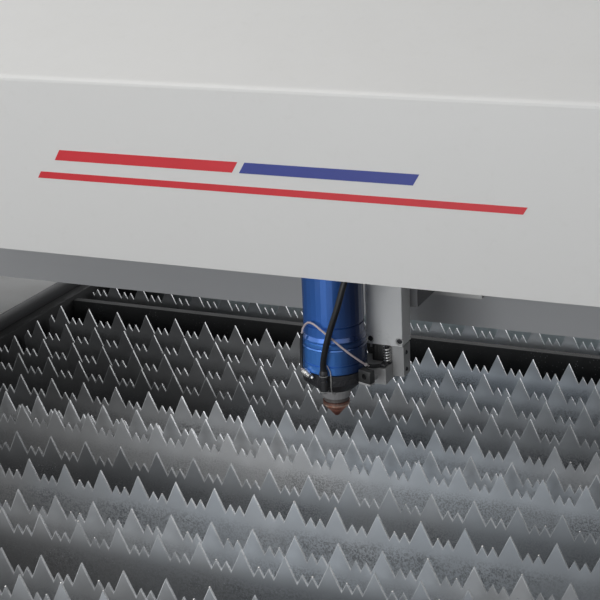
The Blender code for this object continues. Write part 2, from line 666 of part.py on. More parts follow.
def build_frame(bed):
    """Welded legs, beams, ties and drawer runners, with a levelling pad under each leg."""
    edge = FRAME_HALF_Y
    inset = PANEL_THICK + GAP * 2
    leg_in = SIDE_BEAM_OUTER - LEG_SIZE
    beam = box_mesh((SIDE_BEAM_INNER, -edge, SIDE_BEAM_BOTTOM), (SIDE_BEAM_OUTER, edge, FRAME_TOP))
    frame = add("base_frame", beam, grey_paint(), bed)
    weld(frame, box_mesh((-SIDE_BEAM_OUTER, -edge, SIDE_BEAM_BOTTOM), (-SIDE_BEAM_INNER, edge, FRAME_TOP)),
         "left_beam")
    for side_x in (-1, 1):
        for side_y in (-1, 1):
            xs = sorted((side_x * leg_in, side_x * SIDE_BEAM_OUTER))
            ys = sorted((side_y * (edge - LEG_SIZE), side_y * edge))
            weld(frame, box_mesh((xs[0], ys[0], LEG_FOOT_HEIGHT),
                                 (xs[1], ys[1], SIDE_BEAM_BOTTOM + WELD_SINK)), "leg")
            foot = (side_x * (SIDE_BEAM_OUTER - LEG_SIZE / 2), side_y * (edge - LEG_SIZE / 2), 0)
            profile = ((0, 0), (FOOT_RADIUS, 0), (FOOT_RADIUS, FOOT_EDGE),
                       (STUD_COLLAR, FOOT_PLATE), (STUD_RADIUS, FOOT_PLATE),
                       (STUD_RADIUS, LEG_FOOT_HEIGHT + WELD_SINK), (0, LEG_FOOT_HEIGHT + WELD_SINK))
            weld(frame, turned_mesh(profile, foot, 12), "foot")
    reach = SIDE_BEAM_INNER + WELD_SINK
    mid = FIELD_BACK + TROUGH_LIP / 2
    for name, front, back in (("front_cross", -edge + inset, -edge + CROSS_WIDTH),
                              ("rear_cross", edge - CROSS_WIDTH, edge - inset),
                              ("middle_cross", mid, mid + CROSS_WIDTH)):
        weld(frame, box_mesh((-reach, front, SIDE_BEAM_BOTTOM), (reach, back, FRAME_TOP)), name)
    tie_top = TIE_BOTTOM + TIE_HEIGHT
    for name, front, back in (("front_tie", -edge + inset, -edge + CROSS_WIDTH),
                              ("rear_tie", edge - CROSS_WIDTH, edge - inset)):
        weld(frame, box_mesh((-leg_in - WELD_SINK, front, TIE_BOTTOM), (leg_in + WELD_SINK, back, tie_top)),
             name)
    tie_y = edge - LEG_SIZE + WELD_SINK
    for side in (-1, 1):
        xs = sorted((side * (SIDE_BEAM_OUTER - CROSS_WIDTH), side * (SIDE_BEAM_OUTER - inset)))
        weld(frame, box_mesh((xs[0], -tie_y, TIE_BOTTOM), (xs[1], tie_y, tie_top)), "side_tie")
        xs = sorted((side * RUNNER_IN, side * (RUNNER_IN + RUNNER_WIDTH)))
        runner_y = edge - CROSS_WIDTH + WELD_SINK
        weld(frame, box_mesh((xs[0], -runner_y, tie_top - TIE_HEIGHT / 2),
                             (xs[1], runner_y, tie_top + RUNNER_HEIGHT)), "runner")
        for place in (Y_BEARING_FRONT, Y_BEARING_BACK):
            xs = sorted((side * (SIDE_BEAM_OUTER - WELD_SINK), side * (Y_SCREW_OUT + BEARING_HALF)))
            weld(frame, box_mesh((xs[0], place - BEARING_LENGTH / 2, Y_SCREW_HEIGHT - BEARING_HALF),
                                 (xs[1], place + BEARING_LENGTH / 2, Y_SCREW_HEIGHT + BEARING_HALF)),
                 "bearing")
        bore_ends = ((Y_BEARING_FRONT - BEARING_LENGTH, Y_BEARING_FRONT + BEARING_LENGTH),
                     (Y_BEARING_BACK - BEARING_LENGTH, Y_BEARING_BACK + BEARING_LENGTH))
        for start, end in bore_ends:
            cut(frame, rod_mesh((side * Y_SCREW_OUT, start, Y_SCREW_HEIGHT),
                                (side * Y_SCREW_OUT, end, Y_SCREW_HEIGHT), Y_SCREW_RADIUS + GAP, 16),
                "bore")


def build_covers(bed):
    """Folded white strips over the side beams, open underneath."""
    top = COVER_TOP_HEIGHT
    sheet = PANEL_THICK
    stand = WALL_TOP + GAP
    outer = SIDE_BEAM_OUTER + GAP
    outline = [(COVER_INNER, stand), (COVER_INNER, top), (outer + sheet, top),
               (outer + sheet, top - COVER_SKIRT), (outer, top - COVER_SKIRT),
               (outer, top - sheet), (COVER_INNER + sheet, top - sheet), (COVER_INNER + sheet, stand)]
    outline = rounded(outline, {1: COVER_BEND, 2: COVER_BEND}, 2)
    for name, side in (("bed_cover_left", -1), ("bed_cover_right", 1)):
        shape = [(side * first, second) for first, second in outline]
        bm = prism_mesh(shape, "Y", -FRAME_HALF_Y, FRAME_HALF_Y)
        add(name, bm, white_paint(), bed)


def build_deck(bed):
    """Sheet that closes the base behind the trough."""
    low = (-SIDE_BEAM_INNER + GAP, FIELD_BACK + TROUGH_LIP + GAP, FRAME_TOP + GAP)
    high = (SIDE_BEAM_INNER - GAP, FRAME_HALF_Y - GAP, FRAME_TOP + GAP + PANEL_THICK)
    add("rear_deck", box_mesh(low, high), white_paint(), bed)


def build_panels(bed):
    edge = FRAME_HALF_Y
    outer_y = edge - GAP
    leg_in = SIDE_BEAM_OUTER - LEG_SIZE
    half_x = leg_in - GAP
    low = TIE_BOTTOM + GAP
    top = SIDE_BEAM_BOTTOM - GAP
    front = add("front_panel", box_mesh((-half_x, -outer_y, low), (half_x, -outer_y + PANEL_THICK, top)),
                white_paint(), bed)
    opening = DRAWER_FRONT_HALF + DOOR_GAP
    cut(front, box_mesh((-opening, -edge - PANEL_THICK, RUNNER_TOP - GAP),
                        (opening, -edge + PANEL_THICK * 2, RUNNER_TOP + DRAWER_FRONT_HEIGHT + DOOR_GAP)),
        "drawer_opening")
    rear = add("rear_panel", box_mesh((-half_x, outer_y - PANEL_THICK, low), (half_x, outer_y, top)),
               white_paint(), bed)
    cut(rear, box_mesh((-DOOR_HALF, edge - PANEL_THICK * 2, DOOR_BOTTOM),
                       (DOOR_HALF, edge + PANEL_THICK, DOOR_TOP)), "door_opening")
    half_y = edge - LEG_SIZE - GAP
    outer_x = SIDE_BEAM_OUTER - GAP
    for name, side in (("left_panel", -1), ("right_panel", 1)):
        xs = sorted((side * (outer_x - PANEL_THICK), side * outer_x))
        add(name, box_mesh((xs[0], -half_y, low), (xs[1], half_y, top)), white_paint(), bed)


def build_drawer(bed):
    """Scrap drawer: an open sheet box with a front plate and a hand slot."""
    edge = FRAME_HALF_Y
    bottom = DRAWER_BOTTOM
    face = -edge + GAP
    slide = anchor("drawer_slide", (0, -edge, bottom), bed)
    body = box_mesh((-DRAWER_HALF, face + PANEL_THICK / 2, bottom),
                    (DRAWER_HALF, face + DRAWER_DEPTH, bottom + DRAWER_HEIGHT))
    drawer = add("scrap_drawer", body, grey_paint(), slide, (0, -edge, bottom))
    plate = box_mesh((-DRAWER_FRONT_HALF, face, bottom),
                     (DRAWER_FRONT_HALF, face + PANEL_THICK, bottom + DRAWER_FRONT_HEIGHT - GAP))
    weld(drawer, plate, "front")
    cut(drawer, box_mesh((-DRAWER_HALF + DRAWER_WALL, face + PANEL_THICK, bottom + DRAWER_WALL),
                         (DRAWER_HALF - DRAWER_WALL, face + DRAWER_DEPTH - DRAWER_WALL,
                          bottom + DRAWER_HEIGHT * 2)), "inside")
    grip_top = bottom + DRAWER_FRONT_HEIGHT - GRIP_BELOW_EDGE
    cut(drawer, box_mesh((-GRIP_HALF, face - PANEL_THICK, grip_top - GRIP_HEIGHT),
                         (GRIP_HALF, face + PANEL_THICK * 2, grip_top)), "grip")


def build_door(bed):
    """Rear door on a hinge line at its right edge, flush with the rear panel."""
    outer_y = FRAME_HALF_Y - GAP
    hinge_x = DOOR_HALF - GAP
    hinge = anchor("door_hinge", (hinge_x, outer_y, DOOR_BOTTOM), bed)
    low = (-DOOR_HALF + DOOR_GAP, outer_y - PANEL_THICK, DOOR_BOTTOM + DOOR_GAP)
    high = (hinge_x, outer_y, DOOR_TOP - DOOR_GAP)
    door = add("cabinet_door", box_mesh(low, high), white_paint(), hinge, (hinge_x, outer_y, DOOR_BOTTOM))
    for step in range(LOUVRE_COUNT):
        height = DOOR_BOTTOM + LOUVRE_ABOVE_EDGE + LOUVRE_SPACE * step
        cut(door, box_mesh((-LOUVRE_HALF, outer_y - PANEL_THICK * 2, height),
                           (LOUVRE_HALF, outer_y + PANEL_THICK, height + LOUVRE_HEIGHT)), "louvre")
    latch = -DOOR_HALF + LATCH_IN
    cut(door, box_mesh((latch, outer_y - PANEL_THICK * 2, DOOR_TOP - LATCH_IN - LATCH_HEIGHT),
                       (latch + LATCH_WIDTH, outer_y + PANEL_THICK, DOOR_TOP - LATCH_IN)), "latch")


def build_source(bed):
    """Laser source cabinet on the runners, behind the drawer."""
    back = FRAME_HALF_Y - CROSS_WIDTH
    low = (-SOURCE_HALF, back - SOURCE_DEPTH, DRAWER_BOTTOM)
    high = (SOURCE_HALF, back, DRAWER_BOTTOM + SOURCE_HEIGHT)
    source = add("laser_source", box_mesh(low, high), dark_paint(), bed)
    soften(source, BOX_BEVEL, 1)


def build_stop(bed):
    """Emergency stop on the right-hand cover, near the front corner."""
    top = COVER_TOP_HEIGHT
    x = (COVER_INNER + SIDE_BEAM_OUTER) / 2
    y = -FRAME_HALF_Y + STOP_BOX / 2 + STOP_MARGIN
    box = add("stop_housing", box_mesh((x - STOP_BOX / 2, y - STOP_BOX / 2, top + GAP),
                                       (x + STOP_BOX / 2, y + STOP_BOX / 2, top + STOP_BOX_RISE)),
              yellow_plastic(), bed)
    base = top + STOP_BOX_RISE
    floor = top + STOP_BOX_FLOOR
    cut(box, rod_mesh((x, y, floor), (x, y, base + STOP_STEM_RISE), STOP_STEM_RADIUS + GAP, 24), "bore")
    press = anchor("stop_press", (x, y, base), bed)
    radius = STOP_HEAD_RADIUS
    head = base + STOP_STEM_RISE
    profile = ((0, floor + STOP_STEM_CLEAR), (STOP_STEM_RADIUS, floor + STOP_STEM_CLEAR),
               (STOP_STEM_RADIUS, head - STOP_HEAD_RISE / 2), (radius * 0.92, head - STOP_HEAD_RISE / 2),
               (radius, head), (radius * 0.9, head + STOP_HEAD_RISE * 0.6),
               (radius * 0.6, head + STOP_HEAD_RISE * 0.9), (0, head + STOP_HEAD_RISE))
    add("stop_button", turned_mesh(profile, (x, y, 0), 24), red_plastic(), press, (x, y, base), 40)


def build_long_axis(bed):
    """Rail, ball screw and motor on the outside of each side beam."""
    for side, word in ((-1, "left"), (1, "right")):
        face = SIDE_BEAM_OUTER + GAP
        xs = sorted((side * face, side * (face + Y_RAIL_THICK)))
        half = Y_RAIL_WIDTH / 2
        rail = box_mesh((xs[0], -Y_RAIL_HALF, Y_RAIL_HEIGHT - half),
                        (xs[1], Y_RAIL_HALF, Y_RAIL_HEIGHT + half))
        add("y_rail_" + word, rail, bare_steel(), bed)
        x = side * Y_SCREW_OUT
        bearing = Y_BEARING_FRONT - BEARING_LENGTH / 2
        turn = anchor("y_turn_" + word, (x, 0, Y_SCREW_HEIGHT), bed)
        screw = rod_mesh((x, bearing + GAP, Y_SCREW_HEIGHT),
                         (x, Y_BEARING_BACK + BEARING_LENGTH / 2, Y_SCREW_HEIGHT), Y_SCREW_RADIUS, 16)
        add("y_screw_" + word, screw, bare_steel(), turn, (x, 0, Y_SCREW_HEIGHT), 40)
        size = Y_MOTOR_HALF
        out = side * (SIDE_BEAM_OUTER + GAP + size)
        motor = box_mesh((out - size, bearing - GAP - Y_MOTOR_LENGTH, Y_SCREW_HEIGHT - size),
                         (out + size, bearing - GAP, Y_SCREW_HEIGHT + size))
        soften(add("y_motor_" + word, motor, black_plastic(), bed), BOX_BEVEL, 2)


def build_beam(gantry):
    """Rectangular tube with the X rails and screw bearings on its front face."""
    reach = END_INNER - GAP
    top = BEAM_BOTTOM + BEAM_HEIGHT
    beam = add("gantry_beam", box_mesh((-reach, BEAM_FRONT, BEAM_BOTTOM), (reach, BEAM_BACK, top)),
               grey_paint(), gantry, (0, GANTRY_Y, BEAM_BOTTOM))
    cut(beam, box_mesh((-reach * 2, BEAM_FRONT + BEAM_WALL, BEAM_BOTTOM + BEAM_WALL),
                       (reach * 2, BEAM_BACK - BEAM_WALL, top - BEAM_WALL)), "tube")
    for side, place in (("left", X_BEARING_LEFT), ("right", X_BEARING_RIGHT)):
        middle = (X_RAIL_LOW + X_RAIL_HIGH) / 2
        half = BEARING_LENGTH / 2
        block = box_mesh((place - half, BEAM_FRONT - X_SCREW_FORWARD * 2, middle - BEARING_HALF),
                         (place + half, BEAM_FRONT + BEAM_WALL / 2, middle + BEARING_HALF))
        weld(beam, block, side + "_bearing")
        screw_y = BEAM_FRONT - X_SCREW_FORWARD
        cut(beam, rod_mesh((place - BEARING_LENGTH, screw_y, middle),
                           (place + BEARING_LENGTH, screw_y, middle), X_SCREW_RADIUS + GAP, 16),
            side + "_bore")


def build_x_rails(gantry):
    reach = END_INNER - X_RAIL_END
    for word, height in (("lower", X_RAIL_LOW), ("upper", X_RAIL_HIGH)):
        half = X_RAIL_WIDTH / 2
        rail = box_mesh((-reach, BEAM_FRONT - GAP - X_RAIL_THICK, height - half),
                        (reach, BEAM_FRONT - GAP, height + half))
        add("x_rail_" + word, rail, bare_steel(), gantry, (0, BEAM_FRONT, height))


def build_ends(gantry):
    """Gantry legs: plate, the shoe that wraps the rail, and the screw nut."""
    rail_out = SIDE_BEAM_OUTER + GAP + Y_RAIL_THICK
    wrap_in = rail_out - BLOCK_ON_RAIL
    over = Y_RAIL_HEIGHT + Y_RAIL_WIDTH / 2 + GAP
    under = Y_RAIL_HEIGHT - Y_RAIL_WIDTH / 2 - GAP
    outline = [
        (END_INNER, END_BOTTOM), (END_INNER + END_THICK, END_BOTTOM),
        (END_INNER + END_THICK, BEAM_BOTTOM + BEAM_HEIGHT), (END_INNER, BEAM_BOTTOM + BEAM_HEIGHT),
        (END_INNER, over + BLOCK_WRAP), (wrap_in, over + BLOCK_WRAP), (wrap_in, over),
        (rail_out + GAP, over), (rail_out + GAP, under), (wrap_in, under),
        (wrap_in, under - BLOCK_WRAP), (END_INNER, under - BLOCK_WRAP)]
    for side, word in ((-1, "left"), (1, "right")):
        shape = [(side * first, second) for first, second in outline]
        bm = prism_mesh(shape, "Y", GANTRY_Y - END_HALF_Y, GANTRY_Y + END_HALF_Y)
        end = add("gantry_end_" + word, bm, grey_paint(), gantry, (side * END_INNER, GANTRY_Y, BEAM_BOTTOM))
        xs = sorted((side * END_INNER, side * (END_INNER + END_THICK)))
        weld(end, box_mesh((xs[0], GANTRY_Y - POST_HALF_Y, BEAM_BOTTOM + BEAM_HEIGHT - WELD_SINK),
                           (xs[1], GANTRY_Y + POST_HALF_Y, HOOD_ROOF - HOOD_SHEET - GAP)), "post")
        nut = BEARING_HALF
        xs = sorted((side * (Y_SCREW_OUT - nut), side * (END_INNER + WELD_SINK)))
        weld(end, box_mesh((xs[0], GANTRY_Y - nut, Y_SCREW_HEIGHT - nut),
                           (xs[1], GANTRY_Y + nut, Y_SCREW_HEIGHT + nut)), "nut")
        x = side * Y_SCREW_OUT
        cut(end, rod_mesh((x, GANTRY_Y - nut * 2, Y_SCREW_HEIGHT), (x, GANTRY_Y + nut * 2, Y_SCREW_HEIGHT),
                          Y_SCREW_RADIUS + GAP, 16), "bore")


def hood_outline(inset):
    front = HOOD_FRONT + inset
    back = HOOD_BACK - inset
    slope = math.atan2(HOOD_ROOF - HOOD_FRONT_TOP, HOOD_ROOF_START - HOOD_FRONT)
    shoulder = HOOD_FRONT_TOP - inset / math.cos(slope) + inset * math.tan(slope)
    roof = HOOD_ROOF - inset
    crest = HOOD_ROOF_START + inset * math.tan(slope / 2)
    return front, back, shoulder, roof, crest


def build_hood(gantry):
    """Folded sheet hood with welded ends, open underneath, a return lip along the front edge."""
    front, back, shoulder, roof, crest = hood_outline(0)
    heel = PLATE_FRONT
    outer = [(front, HOOD_FRONT_BOTTOM), (front, shoulder), (crest, roof), (back, roof),
             (back, HOOD_BACK_BOTTOM), (BEAM_FRONT, HOOD_BACK_BOTTOM), (heel, HOOD_FRONT_BOTTOM)]
    outer = rounded(outer, {1: HOOD_BEND, 2: HOOD_BEND, 3: HOOD_BEND})
    bm = prism_mesh(outer, "X", -HOOD_HALF_X, HOOD_HALF_X)
    hood = add("hood", bm, white_paint(), gantry, (0, HOOD_FRONT, HOOD_FRONT_BOTTOM), 30)
    front, back, shoulder, roof, crest = hood_outline(HOOD_SHEET)
    lip = HOOD_FRONT_BOTTOM + HOOD_SHEET
    below = HOOD_BACK_BOTTOM - HOOD_LIP
    inner = [(front, lip), (front, shoulder), (crest, roof), (back, roof), (back, below),
             (front + HOOD_LIP, below), (front + HOOD_LIP, lip)]
    bend = HOOD_BEND - HOOD_SHEET
    inner = rounded(inner, {1: bend, 2: bend, 3: bend})
    cut(hood, prism_mesh(inner, "X", -HOOD_HALF_X + HOOD_SHEET, HOOD_HALF_X - HOOD_SHEET), "inside")


def build_x_drive(gantry):
    height = (X_RAIL_LOW + X_RAIL_HIGH) / 2
    y = BEAM_FRONT - X_SCREW_FORWARD
    left = X_BEARING_LEFT - BEARING_LENGTH / 2
    turn = anchor("x_turn", (0, y, height), gantry)
    screw = rod_mesh((left + GAP, y, height), (X_BEARING_RIGHT + BEARING_LENGTH / 2, y, height),
                     X_SCREW_RADIUS, 16)
    add("x_screw", screw, bare_steel(), turn, (0, y, height), 40)
    size = X_MOTOR_HALF
    middle = BEAM_FRONT - GAP * 2 - X_RAIL_THICK - size
    motor = box_mesh((left - GAP - X_MOTOR_LENGTH, middle - size, height - size),
                     (left - GAP, middle + size, height + size))
    soften(add("x_motor", motor, black_plastic(), gantry), BOX_BEVEL, 2)


def build_carriage(carriage):
    """Carriage plate with shoes around both X rails and the screw nut."""
    face = BEAM_FRONT - GAP * 2 - X_RAIL_THICK
    wrap_back = face + GAP + SHOE_ON_RAIL
    half = X_RAIL_WIDTH / 2 + GAP
    low, high = X_RAIL_LOW, X_RAIL_HIGH
    outline = [
        (PLATE_FRONT, low - half - SHOE_WRAP), (wrap_back, low - half - SHOE_WRAP), (wrap_back, low - half),
        (face, low - half), (face, low + half), (wrap_back, low + half), (wrap_back, low + half + SHOE_WRAP),
        (PLATE_BACK, low + half + SHOE_WRAP), (PLATE_BACK, high - half - SHOE_WRAP),
        (wrap_back, high - half - SHOE_WRAP), (wrap_back, high - half), (face, high - half),
        (face, high + half), (wrap_back, high + half), (wrap_back, high + half + SHOE_WRAP),
        (PLATE_FRONT, high + half + SHOE_WRAP)]
    bm = prism_mesh(outline, "X", PLATE_LEFT, PLATE_RIGHT)
    middle = (low + high) / 2
    y = BEAM_FRONT - X_SCREW_FORWARD
    plate = add("carriage_plate", bm, satin_alloy(), carriage, (LIFT_X, PLATE_BACK, middle))
    nut = X_NUT_HALF
    weld(plate, box_mesh((LIFT_X - BEARING_HALF, PLATE_BACK - WELD_SINK, middle - nut),
                         (LIFT_X + BEARING_HALF, y + nut, middle + nut)), "nut")
    cut(plate, rod_mesh((LIFT_X - BEARING_HALF * 2, y, middle), (LIFT_X + BEARING_HALF * 2, y, middle),
                        X_SCREW_RADIUS + GAP, 16), "bore")


def build_lift(carriage):
    """Upright channel with the lifting screw inside and its motor on top."""
    inner = HOUSING_HALF - HOUSING_WALL
    housing = add("z_housing", box_mesh((LIFT_X - HOUSING_HALF, HOUSING_FRONT, HOUSING_BOTTOM),
                                        (LIFT_X + HOUSING_HALF, HOUSING_BACK, HOUSING_TOP)),
                  satin_alloy(), carriage, (LIFT_X, HOUSING_BACK, HOUSING_BOTTOM))
    cut(housing, box_mesh((LIFT_X - inner, HOUSING_FRONT - HOUSING_WALL, HOUSING_BOTTOM + HOUSING_WALL),
                          (LIFT_X + inner, HOUSING_BACK - HOUSING_WALL, HOUSING_TOP - HOUSING_WALL)),
        "channel")
    cut(housing, rod_mesh((LIFT_X, LIFT_Y, HOUSING_BOTTOM + HOUSING_WALL / 2),
                          (LIFT_X, LIFT_Y, HOUSING_TOP + HOUSING_WALL), LIFT_SCREW_RADIUS + GAP, 16), "bore")
    turn = anchor("z_turn", (LIFT_X, LIFT_Y, HOUSING_BOTTOM), carriage)
    screw = rod_mesh((LIFT_X, LIFT_Y, HOUSING_BOTTOM + HOUSING_WALL / 2 + GAP),
                     (LIFT_X, LIFT_Y, HOUSING_TOP - GAP), LIFT_SCREW_RADIUS, 16)
    add("z_screw", screw, bare_steel(), turn, (LIFT_X, LIFT_Y, HOUSING_BOTTOM), 40)
    size = LIFT_MOTOR_HALF
    motor = box_mesh((LIFT_X - size, LIFT_Y - size, HOUSING_TOP + GAP),
                     (LIFT_X + size, LIFT_Y + size, HOUSING_TOP + GAP + LIFT_MOTOR_HEIGHT))
    soften(add("z_motor", motor, black_plastic(), carriage), SMALL_BEVEL, 2)


def build_slide(head):
    """Machined slide: nut arm behind, clamp arm to the head, hose bracket on top."""
    half = COVER_HALF - COVER_SHEET - GAP
    back = COVER_BACK - COVER_SHEET
    slide = add("z_slide", box_mesh((LIFT_X - half, SLIDE_FRONT, SLIDE_FOOT_TOP - WELD_SINK),
                                    (LIFT_X + half, back, SLIDE_TOP)),
                grey_paint(), head, (LIFT_X, LIFT_Y, SLIDE_BOTTOM))
    foot_middle = LIFT_X + COVER_HALF - SLIDE_FOOT_HALF
    weld(slide, box_mesh((foot_middle - SLIDE_FOOT_HALF, SLIDE_FRONT, SLIDE_BOTTOM),
                         (foot_middle + SLIDE_FOOT_HALF, back, SLIDE_FOOT_TOP)), "foot")
    arm_right = foot_middle - SLIDE_FOOT_HALF + ARM_INTO_FOOT
    weld(slide, box_mesh((ARM_LEFT, HEAD_Y + ARM_FRONT_OFF, ARM_BOTTOM),
                         (arm_right, HEAD_Y + ARM_BACK_OFF, ARM_TOP)), "arm")
    weld(slide, box_mesh((LIFT_X - half, SLIDE_FRONT - BRACKET_REACH, SLIDE_TOP - BRACKET_HEIGHT),
                         (LIFT_X + half, back, SLIDE_TOP)), "bracket")
    nut_half = HOUSING_HALF - HOUSING_WALL - NUT_CLEAR
    weld(slide, box_mesh((LIFT_X - nut_half, back - WELD_SINK, NUT_BOTTOM),
                         (LIFT_X + nut_half, LIFT_Y + nut_half, NUT_TOP)), "nut")
    cut(slide, rod_mesh((LIFT_X, LIFT_Y, NUT_BOTTOM - WELD_SINK), (LIFT_X, LIFT_Y, NUT_TOP + WELD_SINK),
                        LIFT_SCREW_RADIUS + GAP, 16), "nut_bore")
    cut(slide, rod_mesh((0, HEAD_Y, ARM_BOTTOM - WELD_SINK), (0, HEAD_Y, ARM_TOP + WELD_SINK),
                        LOWER_RADIUS + GAP * 2, 48), "clamp_bore")
    face = COVER_HALF
    outline = [(LIFT_X - face, COVER_BACK), (LIFT_X - face, COVER_FRONT), (LIFT_X + face, COVER_FRONT),
               (LIFT_X + face, COVER_BACK), (LIFT_X + face - COVER_SHEET, COVER_BACK),
               (LIFT_X + face - COVER_SHEET, COVER_FRONT + COVER_SHEET),
               (LIFT_X - face + COVER_SHEET, COVER_FRONT + COVER_SHEET),
               (LIFT_X - face + COVER_SHEET, COVER_BACK)]
    outline = rounded(outline, {1: COVER_EDGE, 2: COVER_EDGE}, 2)
    add("z_cover", prism_mesh(outline, "Z", COVER_BOTTOM, COVER_TOP), satin_alloy(), head,
        (LIFT_X, COVER_FRONT, COVER_BOTTOM))


def groove(radius, low):
    """Four points of a shallow ring groove on a turned body."""
    floor = low + GROOVE_SIDE
    top = floor + GROOVE_FLOOR
    return ((radius, low), (radius - GROOVE_DEPTH, floor), (radius - GROOVE_DEPTH, top),
            (radius, top + GROOVE_SIDE))


def build_head(head):
    """Turned pieces of the cutting head, stacked on its own axis."""
    axis = (0, HEAD_Y, 0)
    base = UPPER_BOTTOM + GAP
    neck_top = UPPER_TOP + NECK_RISE
    upper = ((0, base), (UPPER_RADIUS, base), *groove(UPPER_RADIUS, UPPER_BOTTOM + UPPER_GROOVE),
             (UPPER_RADIUS, UPPER_TOP - HEAD_EDGE), (UPPER_RADIUS - HEAD_EDGE, UPPER_TOP),
             (NECK_RADIUS, UPPER_TOP), (NECK_RADIUS, neck_top), (0, neck_top))
    add("head_upper", turned_mesh(upper, axis, 32), blue_anodised(), head, (0, HEAD_Y, UPPER_BOTTOM), 30)
    wide = LOWER_RADIUS
    base = LOWER_BOTTOM + GAP
    lower = ((0, base), (wide - HEAD_EDGE, base), (wide, base + HEAD_EDGE),
             *groove(wide, LOWER_BOTTOM + LOWER_GROOVE), *groove(wide, LOWER_BOTTOM + SEAM_GROOVE),
             (wide, UPPER_BOTTOM - HEAD_EDGE), (wide - HEAD_EDGE, UPPER_BOTTOM), (0, UPPER_BOTTOM))
    add("head_lower", turned_mesh(lower, axis, 32), blue_anodised(), head, (0, HEAD_Y, LOWER_BOTTOM), 30)
    base = RING_BOTTOM + GAP
    ring = ((0, base), (RING_TIP_RADIUS, base), (RING_TIP_RADIUS + RING_EDGE * 2, base + RING_EDGE),
            (wide, RING_BOTTOM + RING_TAPER_RISE), (wide, LOWER_BOTTOM), (0, LOWER_BOTTOM))
    add("lens_ring", turned_mesh(ring, axis, 32), black_plastic(), head, (0, HEAD_Y, RING_BOTTOM), 30)
    base = NOZZLE_RING_BOTTOM + GAP
    cone = ((0, base), (NOZZLE_RING_RADIUS, base), (NOZZLE_RING_RADIUS, CONE_BOTTOM),
            (CONE_FOOT_RADIUS, CONE_BOTTOM), (CONE_RADIUS, RING_BOTTOM - CONE_EDGE),
            (CONE_RADIUS, RING_BOTTOM), (0, RING_BOTTOM))
    add("sensor_cone", turned_mesh(cone, axis, 24), bare_steel(), head, (0, HEAD_Y, CONE_BOTTOM), 30)
    nozzle = ((NOZZLE_BORE, NOZZLE_TIP), (NOZZLE_TIP_RADIUS, NOZZLE_TIP),
              (NOZZLE_RADIUS * 0.55, NOZZLE_TIP + NOZZLE_RISE * 0.38),
              (NOZZLE_RADIUS * 0.93, NOZZLE_TIP + NOZZLE_RISE * 0.68),
              (NOZZLE_RADIUS, NOZZLE_TIP + NOZZLE_RISE * 0.76), (NOZZLE_RADIUS, NOZZLE_RING_BOTTOM),
              (NOZZLE_BORE * 2, NOZZLE_RING_BOTTOM))
    add("nozzle", turned_mesh(nozzle, axis, 24), copper(), head, (0, HEAD_Y, NOZZLE_TIP), 30)


def build_fittings(head):
    """Gas hose with its fitting, and the sensor cable with its plug."""
    radius = FITTING_RADIUS
    waist = FITTING_WAIST
    y = HEAD_Y - math.sqrt((LOWER_RADIUS + radius + GAP) ** 2 - FITTING_X ** 2)
    bottom = RING_BOTTOM + FITTING_ABOVE_RING
    top = bottom + FITTING_HEIGHT
    collar = top - GROOVE_FLOOR * 6
    fitting = ((0, bottom), (radius - HEAD_EDGE, bottom), (radius, bottom + HEAD_EDGE),
               (radius, collar), (waist, collar + GROOVE_SIDE), (waist, collar + GROOVE_SIDE * 3),
               (radius, collar + GROOVE_SIDE * 4), (radius, top), (0, top))
    add("gas_fitting", turned_mesh(fitting, (FITTING_X, y, 0), 20), black_plastic(), head,
        (FITTING_X, y, bottom), 30)
    tube("gas_hose", HOSE_ROUTE, HOSE_RADIUS, black_plastic(), head, 22, 2)
    tube("sensor_cable", CABLE_ROUTE, CABLE_RADIUS, cable_skin(), head, 36, 2)
    tip = Vector((0, HEAD_Y, NOZZLE_TIP))
    start = tip + Vector(PLUG_START)
    plug = rod_mesh(start, tip + Vector(PLUG_END), PLUG_RADIUS, 16)
    add("sensor_plug", plug, bare_steel(), head, start, 40)


def clear_scene():
    for old in list(bpy.data.objects):
        bpy.data.objects.remove(old, do_unlink=True)


def build_machine():
    clear_scene()
    bed = anchor("bed", (0, 0, 0))
    gantry = anchor("gantry", (0, GANTRY_Y, BEAM_BOTTOM), bed)
    carriage = anchor("carriage", (0, PLATE_BACK, (X_RAIL_LOW + X_RAIL_HIGH) / 2), gantry)
    head = anchor("cutting_head", (0, HEAD_Y, UPPER_BOTTOM), carriage)
    build_frame(bed)
    build_trough(bed)
    build_covers(bed)
    build_deck(bed)
    build_panels(bed)
    build_combs(bed)
    build_cross_bar(bed)
    build_slats(bed)
    build_drawer(bed)
    build_door(bed)
    build_source(bed)
    build_stop(bed)
    build_long_axis(bed)
    build_beam(gantry)
    build_x_rails(gantry)
    build_ends(gantry)
    build_hood(gantry)
    build_x_drive(gantry)
    build_carriage(carriage)
    build_lift(carriage)
    build_slide(head)
    build_head(head)
    build_fittings(head)


build_machine()
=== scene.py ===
import math
import random

import bmesh
import bpy
from mathutils import Matrix, Vector


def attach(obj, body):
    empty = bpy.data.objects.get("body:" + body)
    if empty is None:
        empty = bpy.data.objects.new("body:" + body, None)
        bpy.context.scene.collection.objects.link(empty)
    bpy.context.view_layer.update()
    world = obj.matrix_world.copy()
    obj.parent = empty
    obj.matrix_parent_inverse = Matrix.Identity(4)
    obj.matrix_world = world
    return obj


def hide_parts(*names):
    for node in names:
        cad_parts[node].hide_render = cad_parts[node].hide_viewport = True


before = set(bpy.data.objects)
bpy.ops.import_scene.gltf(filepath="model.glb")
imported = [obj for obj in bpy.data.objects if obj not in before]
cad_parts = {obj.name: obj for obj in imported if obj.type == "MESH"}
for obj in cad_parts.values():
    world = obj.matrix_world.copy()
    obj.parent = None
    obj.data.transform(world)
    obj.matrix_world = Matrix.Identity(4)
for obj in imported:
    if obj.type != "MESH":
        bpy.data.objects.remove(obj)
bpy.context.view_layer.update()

NOZZLE_TIP = Vector((0, -0.1343, 0.825))     # on the axis of the cutting head
